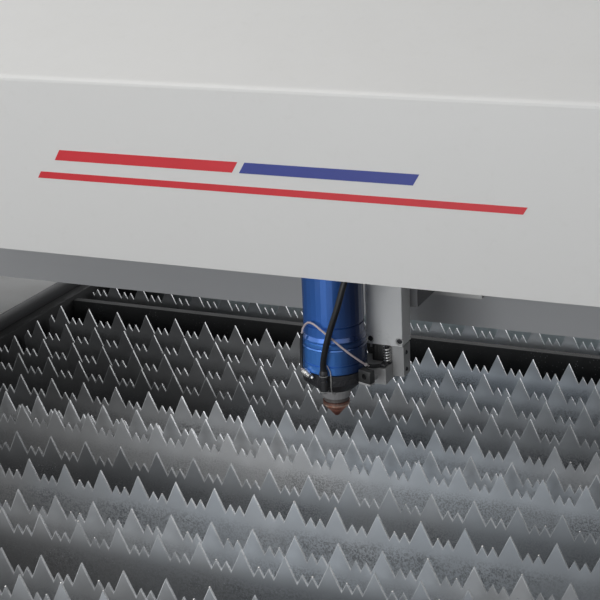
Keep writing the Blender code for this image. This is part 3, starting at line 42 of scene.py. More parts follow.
FRONT, BACK, UP = (0, -1, 0), (0, 1, 0), (0, 0, 1)
SIDES = ((-1, "left"), (1, "right"))
HEAD = "cutting_head"


# ---- Shader sums ----

class Tone:
    """A node's socket that takes part in sums."""

    def __init__(self, finish, socket):
        self.finish, self.socket = finish, socket

    def __add__(self, other):
        return self.finish.sums("ADD", self, other)

    def __radd__(self, other):
        return self.finish.sums("ADD", other, self)

    def __sub__(self, other):
        return self.finish.sums("SUBTRACT", self, other)

    def __rsub__(self, other):
        return self.finish.sums("SUBTRACT", other, self)

    def __mul__(self, other):
        return self.finish.sums("MULTIPLY", self, other)

    def __rmul__(self, other):
        return self.finish.sums("MULTIPLY", other, self)

    def __truediv__(self, other):
        return self.finish.sums("DIVIDE", self, other)

    def __rtruediv__(self, other):
        return self.finish.sums("DIVIDE", other, self)

    def __pow__(self, other):
        return self.finish.sums("POWER", self, other)

    def __rpow__(self, other):
        return self.finish.sums("POWER", other, self)

    def __abs__(self):
        return self.finish.sums("ABSOLUTE", self)


class Finish:
    """One material, wired up by expressions."""

    def __init__(self, name, **constants):
        self.material = bpy.data.materials.new(name)
        self.material.use_nodes = True
        self.tree = self.material.node_tree
        self.shader = self.tree.nodes["Principled BSDF"]
        for word, value in constants.items():
            self.shader.inputs[word.replace("_", " ")].default_value = value
        self.place = self.node("ShaderNodeTexCoord", {}, {}, "Object")
        self.facing = self.node("ShaderNodeTexCoord", {}, {}, "Normal")

    def node(self, kind, settings, inputs, output=0):
        made = self.tree.nodes.new(kind)
        for word, value in settings.items():
            setattr(made, word, value)
        for key, value in inputs.items():
            if isinstance(value, Tone):
                self.tree.links.new(value.socket, made.inputs[key])
            else:
                made.inputs[key].default_value = value
        return Tone(self, made.outputs[output])

    def sums(self, operation, *values):
        return self.node("ShaderNodeMath", {"operation": operation}, dict(enumerate(values)))

    def split(self, vector):
        made = self.node("ShaderNodeSeparateXYZ", {}, {0: vector}, "X").socket.node
        return [Tone(self, made.outputs[axis]) for axis in "XYZ"]

    def stretched(self, x, y, z):
        """The object's own places, pulled out or squeezed along each axis."""
        return self.node("ShaderNodeVectorMath", {"operation": "MULTIPLY"}, {0: self.place, 1: (x, y, z)})

    def noise(self, scale, detail=3, roughness=0.55, place=None):
        return self.node("ShaderNodeTexNoise", {}, {"Vector": place or self.place, "Scale": scale,
            "Detail": detail, "Roughness": roughness})

    def cells(self, scale):
        return self.node("ShaderNodeTexVoronoi", {}, {"Vector": self.place, "Scale": scale}, "Distance")

    def step(self, value, low, high):
        """Rises smoothly from 0 at low to 1 at high."""
        return self.node("ShaderNodeMapRange", {"interpolation_type": "SMOOTHSTEP"},
            {"Value": value, "From Min": low, "From Max": high})

    def band(self, value, low, high, soft):
        """1 between low and high, 0 outside."""
        return self.step(value, low - soft, low + soft) * (1 - self.step(value, high - soft, high + soft))

    def mix(self, share, first, second):
        first = (*first, 1) if isinstance(first, tuple) else first
        second = (*second, 1) if isinstance(second, tuple) else second
        return self.node("ShaderNodeMix", {"data_type": "RGBA"}, {0: share, 6: first, 7: second}, 2)

    def tinted(self, colour, factor):
        """A colour made darker or brighter by a number that changes over the surface."""
        grey = self.node("ShaderNodeCombineXYZ", {}, {0: factor, 1: factor, 2: factor})
        return self.node("ShaderNodeVectorMath", {"operation": "MULTIPLY"}, {0: colour, 1: grey})

    def wire(self, word, tone):
        self.tree.links.new(tone.socket, self.shader.inputs[word])

    def done(self, colour, roughness, height, depth, strength, metallic=None):
        """The material: its colour, roughness, relief of that height, depth and strength, and metal."""
        self.wire("Base Color", colour)
        self.wire("Roughness", roughness)
        self.wire("Normal", self.node("ShaderNodeBump", {}, {"Height": height, "Distance": depth,
            "Strength": strength}, "Normal"))
        if metallic:
            self.wire("Metallic", metallic)
        return self.material


# ---- Finishes ----

TOOTH_PITCH = 0.04
TIP_HEIGHT = 0.8
SMALL_TIP_HEIGHT = 0.7861
SMALL_TIP_REACH = 0.01535      # from the middle of a large tooth
LARGE_SLOPE = 2.14
SMALL_SLOPE = 1.935

def powder_coat(name, colour, shade, dust=(0.5, 0.48, 0.44), dusty=0.25, peel=0.00005, feet=False):
    """Baked paint: fine orange peel, faint clouding, dust where it looks up, a few rubbed marks."""
    f = Finish(name)
    broad = f.noise(2.6, 3)
    fine = f.noise(95, 4)
    body = f.mix(broad, colour, shade)
    body = f.mix(f.step(fine, 0.55, 0.85) * 0.1, body, dust)
    up = f.split(f.facing)[2]
    film = f.step(up, 0.25, 0.95) * f.step(f.noise(17, 6, 0.7), 0.35, 0.75) * dusty
    body = f.mix(film, body, dust)
    rubs = f.step(f.noise(6, 8, 0.75, f.stretched(1, 1, 5)), 0.66, 0.74) * 0.16
    body = f.mix(rubs, body, dust)
    metal = None
    if feet:
        # the levelling feet and their studs are bare zinc
        bare = 1 - f.step(f.split(f.place)[2], 0.0495, 0.0503)
        body = f.mix(bare, body, f.mix(fine, (0.34, 0.35, 0.36), (0.46, 0.47, 0.48)))
        metal = bare * 0.7
    return f.done(body, 0.42 + 0.1 * broad + 0.25 * film + 0.12 * rubs - 0.03, f.noise(650, 2) + 0.4 * fine,
        peel, 0.45, metal)


def sooty_paint(name, colour, ash, grains=900, cover=0.22):
    """Dark paint under cutting dust, with pale splashes and grit."""
    f = Finish(name)
    clouds = f.noise(9, 6, 0.65)
    grit = f.noise(grains, 2, 0.5)
    up = f.split(f.facing)[2]
    lying = f.step(up, -0.1, 0.9) * 0.4 + cover
    film = f.step(clouds, 0.35, 0.8) * lying
    specks = f.step(f.cells(260), 0.22, 0.12) * f.step(clouds, 0.4, 0.7)
    body = f.mix(film, colour, ash)
    body = f.mix(specks * 0.35, body, (0.3, 0.3, 0.31))
    return f.done(body, 0.6 + 0.3 * film, grit + 2 * specks, 0.00025, 0.5)


def trough_paint():
    """Black funnel: dust swept to the inner edge of the lip; the rear wall zinc, brightened as painted light
    and fading to black towards its left corner as painted shade.
    """
    f = Finish("trough_coat")
    x, y, z = f.split(f.place)
    up = f.split(f.facing)[2]
    clouds = f.noise(11, 6, 0.65)
    grit = f.noise(700, 3, 0.6)
    body = f.mix(f.step(clouds, 0.4, 0.8) * 0.25, (0.006, 0.006, 0.007), (0.05, 0.05, 0.051))
    swept = f.noise(70, 5, 0.7, f.stretched(1, 0.35, 1))
    rim = f.step(z, 0.7885, 0.7895) * f.step(up, 0.3, 0.8) * (1 - f.step(abs(x), 0.5, 0.513))
    body = f.mix(rim * f.step(swept, 0.42, 0.62) * 0.75, body, (0.1, 0.1, 0.102))
    # painted light and shade: the rear wall is painted bright zinc at the right and fades to the funnel's black
    # towards the left
    wall = f.step(y, 0.279, 0.2805) * f.step(x, -0.46, -0.28)
    body = f.mix(wall * (0.8 + 0.2 * clouds), body, (0.66, 0.74, 0.76))
    return f.done(f.mix(f.step(grit, 0.62, 0.75) * 0.12, body, (0.26, 0.26, 0.26)), 0.62 + 0.3 * clouds, grit,
        0.0002, 0.5)


def zinc_sheet(name, place, shift, tooth_tone_and_light=1, painted_fill_below=1, left=0.32, left_shade_fade=(-0.42, 0.02)):
    """One slat of galvanised sheet.

    place is its Y and shift where its teeth start. The next number is the slat's brightness at the teeth,
    partly its own soot and tone and partly painted light; the one after is the same under the teeth, painted
    light that stands in for light the slats in front block; left is the painted shade at the left end, which
    fades out over the last, a range of X.
    """
    f = Finish(name)
    x, _, z = f.split(f.place)
    ny = f.split(f.facing)[1]
    cut = 1 - f.step(abs(ny), 0.35, 0.65)
    # painted light: slats under the hood get brighter faces and a dimmer burr, the left end and the right part
    # of each slat are painted darker as shade, and the faces under the teeth are brightened to stand in for
    # light the slats in front block
    under_hood = min(1, max(0, (place + 0.1) / 0.1))
    across = f.step(x, *left_shade_fade) * (1 - left) + left
    across = across * (1 - f.step(x, 0.02, 0.42) * 0.42)
    cloud = f.noise(14, 3, 0.55, f.stretched(1, 8, 1.4))
    depth = 1 - f.step(z, 0.768, 0.792)
    level = (0.8 + 0.08 * under_hood) * tooth_tone_and_light * across * (0.88 + 0.24 * cloud)
    level = f.sums("MINIMUM", level * (0.69 + depth * (painted_fill_below - 0.69)), 0.95)
    # the tint varies at random, and its shift to blue towards the right is painted light colour
    tint = f.step(f.noise(5, 2, 0.5, f.stretched(1, 7, 0.4)) + 0.25 * f.step(x, -0.3, 0.1), 0.42, 0.85)
    body = f.mix(tint, (0.98, 0.99, 1), (0.89, 0.955, 1.02))
    body = f.tinted(body, level)
    # fine spatter, and grainy dark patches below the teeth
    grain = f.noise(560, 3, 0.75)
    patch = f.step(f.noise(9, 5, 0.65, f.stretched(1, 5, 1.5)), 0.44, 0.66)
    low = (1 - f.step(z + (cloud - 0.5) * 0.012, 0.762, 0.777)) * (0.25 + 0.75 * patch)
    body = f.mix(low * f.step(grain, 0.44, 0.58) * 0.6, body, (0.04, 0.043, 0.05))
    sparks = f.step(f.noise(700, 1), 0.64, 0.72) * low
    body = f.mix(sparks * 0.45, body, (0.62, 0.66, 0.7))
    # the burr along the teeth, brightened as a painted highlight in patches, dimmer under the hood and towards
    # the left end as painted shade
    along = f.sums("MODULO", x / TOOTH_PITCH + (100.5 - shift), 1) - 0.5
    reach = abs(along) * TOOTH_PITCH
    large = TIP_HEIGHT - reach * LARGE_SLOPE
    small = SMALL_TIP_HEIGHT - abs(reach - SMALL_TIP_REACH) * SMALL_SLOPE
    gap = f.sums("MAXIMUM", large, small) - z
    highlight_patches = f.step(f.noise(9, 3, 0.6, f.stretched(1, 9, 3)), 0.4, 0.62)
    burr_highlight = (1 - f.step(gap, 0.0006, 0.0019)) * (0.15 + 0.7 * highlight_patches)
    burr_highlight = burr_highlight * (0.95 - 0.25 * under_hood) * (0.3 + 0.7 * across)
    body = f.mix(burr_highlight, body, (0.92, 0.94, 0.95))
    # the cut edge itself: bright, striped by the cut, dull at a few spots, and painted darker towards the left
    # end as shade
    stripes = f.noise(50, 2, 0.5, f.stretched(18, 1, 18))
    bright = f.mix(f.step(stripes, 0.25, 0.6), (0.7, 0.71, 0.72), (0.94, 0.95, 0.96))
    worn = f.step(f.noise(14, 3), 0.48, 0.62)
    bright = f.tinted(f.mix(worn * 0.5, bright, (0.4, 0.41, 0.42)), across * 0.8 + 0.2)
    return f.done(f.mix(cut, body, bright), 0.5 - 0.16 * cut + 0.2 * low * (1 - cut),
        grain * low + 0.5 * sparks, 0.0004, 0.5, 0.22 + 0.35 * cut)


def ground_metal(name, colour, roughness, lines=(1, 60, 60), scale=40, metallic=1):
    """Ground or drawn metal with fine lines and oily clouding."""
    f = Finish(name, Metallic=metallic)
    grain = f.noise(scale, 3, 0.6, f.stretched(*lines))
    clouds = f.noise(30, 4, 0.6)
    return f.done(f.tinted(f.mix(clouds, colour, tuple(part * 0.82 for part in colour)), 0.88 + 0.24 * grain),
        roughness - 0.06 + 0.12 * clouds + 0.08 * grain, grain, 0.00004, 0.35)


def blasted_alloy(name, colour, roughness=0.48, metallic=0.35):
    """Bead-blasted and clear-anodised aluminium."""
    f = Finish(name, Metallic=metallic)
    beads = f.noise(1500, 2)
    clouds = f.noise(24, 5, 0.6)
    stains = f.step(f.noise(60, 5, 0.7), 0.6, 0.75)
    body = f.mix(clouds, colour, tuple(part * 0.88 for part in colour))
    return f.done(f.mix(stains * 0.18, body, (0.3, 0.29, 0.27)), roughness + 0.08 * clouds + 0.1 * stains,
        beads, 0.00006, 0.4)


def turned_blue(name, gloss=0.3):
    """Blue anodised aluminium with the fine rings of a lathe."""
    f = Finish(name, Metallic=0.45, Coat_Weight=0.6, Coat_Roughness=0.12)
    x, _, z = f.split(f.place)
    rings = f.noise(60, 2, 0.6, f.stretched(0.2, 0.2, 60))
    clouds = f.noise(45, 3)
    body = f.mix(rings, (0.055, 0.22, 0.7), (0.085, 0.29, 0.8))
    scuffs = f.step(f.noise(160, 5, 0.75, f.stretched(1, 1, 2.5)), 0.66, 0.76)
    body = f.mix(scuffs * 0.3, body, (0.26, 0.4, 0.62))
    body = f.mix(f.step(z, 0.9085, 0.9095) * 0.4, body, (0.025, 0.09, 0.44))
    # painted shade and painted reflection: the head's right side runs to near black, shaded by the slide beside
    # it
    return f.done(f.mix(f.step(x, 0.004, 0.028) * 0.9, body, (0.006, 0.009, 0.04)),
        gloss - 0.05 + 0.1 * clouds + 0.1 * rings + 0.15 * scuffs, rings, 0.00004, 0.5)


def moulded(name, colour, roughness=0.42, grain=1400, depth=0.00005, pale=(0.2, 0.2, 0.2)):
    """Moulded plastic or rubber: fine grain, a little dust and a few pale rubs."""
    f = Finish(name)
    skin = f.noise(grain, 2)
    clouds = f.noise(40, 4, 0.6)
    rubs = f.step(f.noise(110, 6, 0.75), 0.64, 0.76)
    body = f.mix(clouds * 0.3, colour, tuple(part * 1.5 + 0.004 for part in colour))
    return f.done(f.mix(rubs * 0.14, body, pale), roughness + 0.12 * clouds + 0.12 * rubs, skin, depth, 0.4)


def worn_copper():
    f = Finish("worn_copper", Metallic=0.7)
    z = f.split(f.place)[2]
    rings = f.noise(50, 2, 0.6, f.stretched(0.2, 0.2, 80))
    heat = f.noise(260, 4, 0.6)
    body = f.mix(f.step(heat, 0.35, 0.7), (0.62, 0.25, 0.17), (0.36, 0.15, 0.11))
    rim = f.band(z, 0.8362, 0.8398, 0.0006)
    body = f.mix(rim * f.step(heat, 0.3, 0.6) * 0.8, body, (0.78, 0.62, 0.5))
    burnt = 1 - f.step(z, 0.8262, 0.8325)
    body = f.mix(burnt * 0.7, body, (0.11, 0.03, 0.03))
    body = f.mix(f.step(z, 0.8372, 0.8388) * (0.55 + 0.3 * heat), body, (0.075, 0.052, 0.048))
    return f.done(f.tinted(body, 0.85 + 0.3 * rings), 0.34 + 0.25 * heat, rings + heat, 0.00006, 0.5)


def smoked_cone():
    """Plain grey metal, smoked darker towards the nozzle."""
    f = Finish("smoked_cone", Metallic=0.3)
    z = f.split(f.place)[2]
    smoke = f.noise(220, 4, 0.65)
    low = 1 - f.step(z, 0.8447, 0.8462)
    body = f.mix(smoke, (0.42, 0.41, 0.41), (0.31, 0.3, 0.3))
    return f.done(f.mix(low * 0.85, body, (0.09, 0.075, 0.068)), 0.45 + 0.25 * smoke, smoke, 0.0001, 0.5)


WHITE = powder_coat("white_coat", (0.7, 0.695, 0.68), (0.645, 0.64, 0.625))
HOOD_WHITE = powder_coat("hood_coat", (0.7, 0.69, 0.67), (0.66, 0.655, 0.64), dusty=0.06)
GREY = powder_coat("grey_coat", (0.205, 0.207, 0.212), (0.165, 0.167, 0.172), (0.33, 0.32, 0.31))
FRAME_GREY = powder_coat("frame_coat", (0.215, 0.217, 0.222), (0.175, 0.177, 0.182), (0.33, 0.32, 0.31),
    feet=True)
BEAM_GREY = powder_coat("beam_coat", (0.54, 0.54, 0.545), (0.46, 0.46, 0.465), (0.55, 0.54, 0.53))
SLIDE_GREY = powder_coat("slide_coat", (0.46, 0.457, 0.452), (0.37, 0.368, 0.365), (0.42, 0.41, 0.4))
SOOT = sooty_paint("dusty_black", (0.008, 0.008, 0.009), (0.085, 0.083, 0.082))
# painted shade: the cross bar is near black so the band under the gantry reads dark
BAR_SHADE = sooty_paint("bar_shade_black", (0.003, 0.0035, 0.004), (0.011, 0.0115, 0.012), cover=0.05)
TROUGH = trough_paint()
STEEL = ground_metal("ground_steel", (0.52, 0.53, 0.54), 0.28)
SCREW_STEEL = ground_metal("screw_steel", (0.46, 0.46, 0.47), 0.3, (60, 60, 60), 12)
BRIGHT = ground_metal("bright_steel", (0.78, 0.77, 0.75), 0.24, (20, 20, 20), 30, 0.8)
OXIDE = ground_metal("black_oxide", (0.045, 0.045, 0.048), 0.4, (30, 30, 30), 30, 0.8)
ALLOY = blasted_alloy("satin_alloy", (0.6, 0.59, 0.575))
# painted shade: the lift housing's alloy is darkened because it sits in shadow beside the front plate
HOUSING_SHADE = blasted_alloy("housing_shaded_alloy", (0.17, 0.17, 0.175), 0.5, 0.2)
PLATE_ALLOY = blasted_alloy("plate_alloy", (0.8, 0.8, 0.79), 0.52, 0.15)
BLUE = turned_blue("blue_anodised")
BLUE_BRIGHT = turned_blue("blue_polished", 0.16)
BLACK = moulded("black_moulded", (0.014, 0.014, 0.016), 0.4)
GUARD = moulded("guard_grey", (0.03, 0.03, 0.03), 0.42, pale=(0.25, 0.25, 0.24))
LENS_BLACK = moulded("lens_black", (0.02, 0.02, 0.023), 0.36)
HOSE = moulded("black_hose", (0.007, 0.007, 0.008), 0.38, 900)
JACKET = moulded("pink_jacket", (0.62, 0.53, 0.54), 0.42, pale=(0.75, 0.7, 0.68))
WIRE = ground_metal("tinned_wire", (0.72, 0.71, 0.68), 0.3, (40, 40, 40), 30, 0.4)
COPPER = worn_copper()
CONE = smoked_cone()
RED = moulded("red_moulded", (0.55, 0.012, 0.012), 0.3, pale=(0.7, 0.25, 0.22))
YELLOW = moulded("yellow_moulded", (0.78, 0.5, 0.02), 0.38, pale=(0.85, 0.7, 0.3))
RED_LINE = moulded("red_film", (0.56, 0.02, 0.03), 0.35, 600, 0.00002, (0.6, 0.2, 0.2))
BLUE_LINE = moulded("blue_film", (0.03, 0.045, 0.24), 0.35, 600, 0.00002, (0.2, 0.25, 0.5))

BACK_SHADE_FADE = (-0.38, 0.1)
# each slat's Y and where its teeth start, then its tone and painted light and shade in the order that
# zinc_sheet takes it
SLATS = ((-0.4735, 0.403), (-0.439, 0.368, 0.7, 0.78), (-0.373, 0.28, 0.9, 0.43), (-0.336, 0.1),
    (-0.275, 0.401, 1.05, 0.86), (-0.222, 0.176, 0.82, 0.68, 0.26, (-0.22, 0.05)),
    (-0.1595, 0.305, 1.15, 0.92, 0.26), (-0.1345, 0.384, 0.8, 1.25, 0.52), (-0.0875, 0.084, 0.88, 1.15, 0.13,
    (-0.38, -0.08)), (-0.032, 0.093, 0.57, 0.96, 0.14, (-0.28, 0.06)), (0.0165, 0.147, 0.74, 1.15, 0.12,
    BACK_SHADE_FADE), (0.0695, 0.086, 0.86, 1.3, 0.16, BACK_SHADE_FADE), (0.126, 0.032, 0.9, 1.48, 0.2, BACK_SHADE_FADE),
    (0.231, 0.362, 1, 1.6, 0.2, BACK_SHADE_FADE))


def dress(material, *nodes):
    for node in nodes:
        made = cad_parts[node]
        made.data.materials.clear()
        made.data.materials.append(material)


dress(WHITE, "bed_cover_left", "bed_cover_right", "front_panel", "rear_panel", "left_panel", "right_panel",
    "rear_deck", "cabinet_door")
dress(HOOD_WHITE, "hood")
dress(FRAME_GREY, "base_frame")
dress(GREY, "scrap_drawer")
dress(BEAM_GREY, "gantry_beam", "gantry_end_left", "gantry_end_right")
dress(SLIDE_GREY, "z_slide")
dress(SOOT, "comb_left", "comb_right", "laser_source")
dress(TROUGH, "bed_trough")
dress(BAR_SHADE, "cross_bar")
dress(STEEL, "y_rail_left", "y_rail_right", "x_rail_lower", "x_rail_upper")
dress(BRIGHT, "sensor_plug")
dress(ALLOY, "carriage_plate")
dress(HOUSING_SHADE, "z_housing")
dress(BLUE, "head_upper", "head_lower")
dress(BLACK, "y_motor_left", "y_motor_right", "x_motor", "z_motor", "gas_fitting")
dress(LENS_BLACK, "lens_ring")
dress(COPPER, "nozzle")
dress(CONE, "sensor_cone")
dress(RED, "stop_button")
dress(YELLOW, "stop_housing")
for slat_number, slat in enumerate(SLATS, 1):
    dress(zinc_sheet("zinc_sheet_%02d" % slat_number, *slat), "slat_%02d" % slat_number)


# ---- Shapes ----

def piece(name, bm, material, body, smooth=35):
    mesh = bpy.data.meshes.new(name)
    bmesh.ops.recalc_face_normals(bm, faces=bm.faces)
    bm.to_mesh(mesh)
    bm.free()
    if smooth:
        mesh.shade_smooth()
        mesh.set_sharp_from_angle(angle=math.radians(smooth))
    mesh.materials.append(material)
    made = bpy.data.objects.new(name, mesh)
    bpy.context.scene.collection.objects.link(made)
    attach(made, body)
    return made


def facing(spot, normal, spin=0):
    """Stands a shape's +Z along normal at spot."""
    turn = Vector(UP).rotation_difference(Vector(normal)).to_matrix().to_4x4()
    return Matrix.Translation(Vector(spot)) @ turn @ Matrix.Rotation(spin, 4, "Z")


def add_ring(bm, matrix, sides, height, reach):
    """A ring of vertices; reach tells how far out it lies at an angle."""
    angles = [math.tau * side / sides for side in range(sides)]
    return [bm.verts.new(matrix @ Vector((reach(angle) * math.cos(angle), reach(angle) * math.sin(angle),
        height))) for angle in angles]


def cover(bm, rings, closed=False):
    """Faces from ring to ring; a closed row joins its ends, any other gets end faces."""
    for low, high in zip(rings, rings[1:] + rings[:1] * closed):
        for side in range(len(low)):
            after = (side + 1) % len(low)
            bm.faces.new((low[side], low[after], high[after], high[side]))
    if not closed:
        bm.faces.new(rings[0])
        bm.faces.new(rings[-1])


def hexagon(angle):
    """How much further out a hexagon's edge lies than its flats."""
    return 1 / math.cos((angle + math.pi / 6) % (math.pi / 3) - math.pi / 6)


def turn_shape(bm, profile, matrix, sides=24, hexed=(), closed=False):
    """Adds a turned shape of (radius, height); rings in hexed are hexagons across their flats."""
    cover(bm, [add_ring(bm, matrix, sides, height, lambda angle, part=radius,
        six=number in hexed: part * (hexagon(angle) if six else 1)) for number,
        (radius, height) in enumerate(profile)], closed)


def turn_ring(bm, profile, matrix, sides=24):
    """A turned ring; its profile of (radius, height) is closed."""
    turn_shape(bm, profile, matrix, sides, (), True)


def socket_screw(bm, spot, normal, radius, spin=0, height=None):
    """Cap screw with a hexagon socket."""
    hole = radius * 0.52
    height = height or radius * 1.1
    profile = ((radius * 0.96, -0.0002), (radius, height * 0.15), (radius, height * 0.82),
        (radius * 0.88, height), (hole, height), (hole * 0.96, height * 0.4), (hole * 0.3, height * 0.34))
    turn_shape(bm, profile, facing(spot, normal, spin), 18, (4, 5))


def button_screw(bm, spot, normal, radius, spin=0):
    """Low domed screw with a hexagon socket."""
    hole = radius * 0.4
    height = radius * 0.55
    profile = ((radius, -0.0002), (radius, height * 0.15), (radius * 0.9, height * 0.55),
        (radius * 0.66, height * 0.88), (hole * 1.12, height), (hole, height), (hole, height * 0.35),
        (hole * 0.3, height * 0.3))
    turn_shape(bm, profile, facing(spot, normal, spin), 16, (5, 6))


def rail_cap(bm, spot, normal, radius, spin=0):
    """Flush plug over a rail's bolt, dished in the middle."""
    profile = ((radius, -0.0002), (radius, 0.0001), (radius * 0.93, 0.0002), (radius * 0.55, 0.00018),
        (radius * 0.45, 0.00005), (radius * 0.1, 0.00002))
    turn_shape(bm, profile, facing(spot, normal, spin), 14)


def screw_set(name, kind, material, body, radius, normal, spots):
    bm = bmesh.new()
    for number, spot in enumerate(spots):
        kind(bm, spot, normal, radius, number * 0.7)
    return piece(name, bm, material, body)


def slab(bm, low, high, width=0, matrix=None):
    """A block with softened edges."""
    shape = bmesh.new()
    bmesh.ops.create_cube(shape, size=1)
    low, high = Vector(low), Vector(high)
    bmesh.ops.scale(shape, verts=shape.verts, vec=high - low)
    bmesh.ops.translate(shape, verts=shape.verts, vec=(low + high) / 2)
    if width:
        bmesh.ops.bevel(shape, geom=list(shape.edges), offset=width, segments=2, profile=0.5, affect="EDGES")
    if matrix:
        bmesh.ops.transform(shape, matrix=matrix, verts=shape.verts)
    join(bm, shape)


def join(bm, shape):
    spots = {vert: bm.verts.new(vert.co) for vert in shape.verts}
    for face in shape.faces:
        bm.faces.new([spots[vert] for vert in face.verts])
    shape.free()


def extrude(bm, outline, axis, start, end):
    """A bar along X, Y or Z; the outline holds the other two axes in order."""
    order = {"X": lambda a, b, travel: (travel, a, b), "Y": lambda a, b, travel: (a, travel, b), "Z": lambda a,
        b, travel: (a, b, travel)}[axis]
    cover(bm, [[bm.verts.new(order(a, b, travel)) for a, b in outline] for travel in (start, end)])


def carved(bm, knife):
    """Cuts one shape out of another."""
    made = []
    for shape in (bm, knife):
        bmesh.ops.recalc_face_normals(shape, faces=shape.faces)
        mesh = bpy.data.meshes.new("blank")
        shape.to_mesh(mesh)
        shape.free()
        made.append(bpy.data.objects.new("blank", mesh))
        bpy.context.scene.collection.objects.link(made[-1])
    change = made[0].modifiers.new("cut", "BOOLEAN")
    change.operation = "DIFFERENCE"
    change.object = made[1]
    change.solver = "EXACT"
    result = bmesh.new()
    result.from_object(made[0], bpy.context.evaluated_depsgraph_get())
    for old in made:
        mesh = old.data
        bpy.data.objects.remove(old)
        bpy.data.meshes.remove(mesh)
    return result


def smooth_route(spots, count):
    """The curve through the spots, as evenly numbered points."""
    spots = [Vector(spot) for spot in spots]
    ends = [spots[0] * 2 - spots[1]] + spots + [spots[-1] * 2 - spots[-2]]
    spans = len(spots) - 1
    route = []
    for index in range(count + 1):
        travel = index / count * spans
        span = min(int(travel), spans - 1)
        t = travel - span
        a, b, c, d = ends[span:span + 4]
        route.append(0.5 * (2 * b + (c - a) * t + (2 * a - 5 * b + 4 * c - d) * t * t + (3 * b - a - 3 * c + d)
            * t ** 3))
    return route


def line_piece(name, route, radius, material, body, sides=6, closed=False):
    curve = bpy.data.curves.new(name, "CURVE")
    curve.dimensions = "3D"
    curve.bevel_depth = radius
    curve.bevel_resolution = sides
    curve.use_fill_caps = True
    line = curve.splines.new("POLY")
    line.points.add(len(route) - 1)
    for point, spot in zip(line.points, route):
        point.co = (*spot, 1)
    line.use_cyclic_u = closed
    line.use_smooth = True
    curve.materials.append(material)
    made = bpy.data.objects.new(name, curve)
    bpy.context.scene.collection.objects.link(made)
    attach(made, body)
    return made


def length_of(route):
    return sum((after - before).length for before, after in zip(route, route[1:]))


def near_head(spots):
    return [NOZZLE_TIP + Vector(spot) for spot in spots]


# ---- Camera ----

def place_camera():
    azimuth, drop, roll = math.radians(-24.653), math.radians(18.904), math.radians(-2.486)
    ahead = Vector((math.sin(azimuth) * math.cos(drop), math.cos(azimuth) * math.cos(drop), -math.sin(drop)))
    level = Vector((math.cos(azimuth), -math.sin(azimuth), 0))
    upright = level.cross(ahead)
    right = level * math.cos(roll) + upright * math.sin(roll)
    top = right.cross(ahead)
    view = Matrix((right, top, -ahead)).transposed().to_4x4()
    data = bpy.data.cameras.new("camera")
    sensor, focal_pixels, picture_pixels = 36, 1582.37, 600
    data.sensor_width = sensor
    data.lens = sensor * focal_pixels / picture_pixels
    data.clip_start = 0.05
    made = bpy.data.objects.new("camera", data)
    made.matrix_world = Matrix.Translation((0.5617, -1.4327, 1.4277)) @ view
    bpy.context.scene.collection.objects.link(made)
    bpy.context.scene.camera = made


place_camera()


# ---- Hose, cable and wire ----

HOSE_ROUTE = smooth_route(near_head(((0.003, -0.0353, 0.0543), (0.003, -0.0357, 0.062),
    (0.0045, -0.0369, 0.072), (0.008, -0.0382, 0.0855), (0.012, -0.0385, 0.099), (0.0165, -0.0385, 0.112),
    (0.0212, -0.0379, 0.126), (0.0262, -0.0357, 0.145), (0.0315, -0.0297, 0.1655), (0.0365, -0.0207, 0.186),
    (0.04, -0.0087, 0.202), (0.0408, 0.0008, 0.2075), (0.0408, 0.008, 0.2085))), 36)
CABLE_ROUTE = smooth_route(near_head(((-0.0214, -0.0269, 0.0526), (-0.023, -0.0259, 0.0535),
    (-0.024, -0.025, 0.057), (-0.024, -0.0242, 0.064), (-0.0239, -0.0241, 0.0735), (-0.0234, -0.0242, 0.084),
    (-0.0204, -0.026, 0.0955), (-0.0136, -0.0302, 0.1032), (-0.007, -0.0327, 0.1035), (0, -0.0338, 0.0995),
    (0.0062, -0.0332, 0.0945), (0.0117, -0.0317, 0.0895), (0.0179, -0.0287, 0.0826), (0.024, -0.0238, 0.0749),
    (0.0295, -0.0164, 0.0667), (0.0334, -0.0052, 0.0575), (0.0358, 0.004, 0.0525), (0.0385, 0.0105, 0.0506),
    (0.0435, 0.015, 0.0504))), 36)
WIRE_ROUTE = smooth_route([Vector(spot) for spot in ((0.0038, -0.1692, 0.8905), (0.0051, -0.1668, 0.8882),
    (0.0079, -0.1655, 0.8815), (0.0086, -0.1655, 0.8735), (0.0081, -0.1648, 0.8665), (0.0066, -0.16, 0.859),
    (0.0052, -0.152, 0.8535), (0.005, -0.1483, 0.852))], 28)
PLUG_START, PLUG_END = near_head(((-0.02105, -0.0271, 0.0525), (-0.0121, -0.0321, 0.05)))


def build_plug():
    """Knurled sleeve nut on the cable's plug, with a small lock screw at its tip."""
    along = (PLUG_END - PLUG_START).normalized()
    matrix = facing(PLUG_START, along)
    bm = bmesh.new()
    turn_shape(bm, ((0.0016, -0.0008), (0.003, -0.0002), (0.0035, 0.0006), (0.0035, 0.0014), (0.0031, 0.0018),
        (0.0031, 0.0022), (0.0035, 0.0026), (0.0035, 0.0038), (0.0031, 0.0042), (0.0031, 0.0046),
        (0.0035, 0.005), (0.0034, 0.006), (0.0027, 0.0066)), matrix, 18)
    nut = piece("plug_sleeve_nut", bm, BRIGHT, HEAD)
    bm = bmesh.new()
    button_screw(bm, PLUG_END + Vector((0.0022, -0.0012, -0.0006)), (0.25, -0.95, 0.15), 0.0015)
    piece("plug_lock_screw", bm, BRIGHT, HEAD)
    return nut


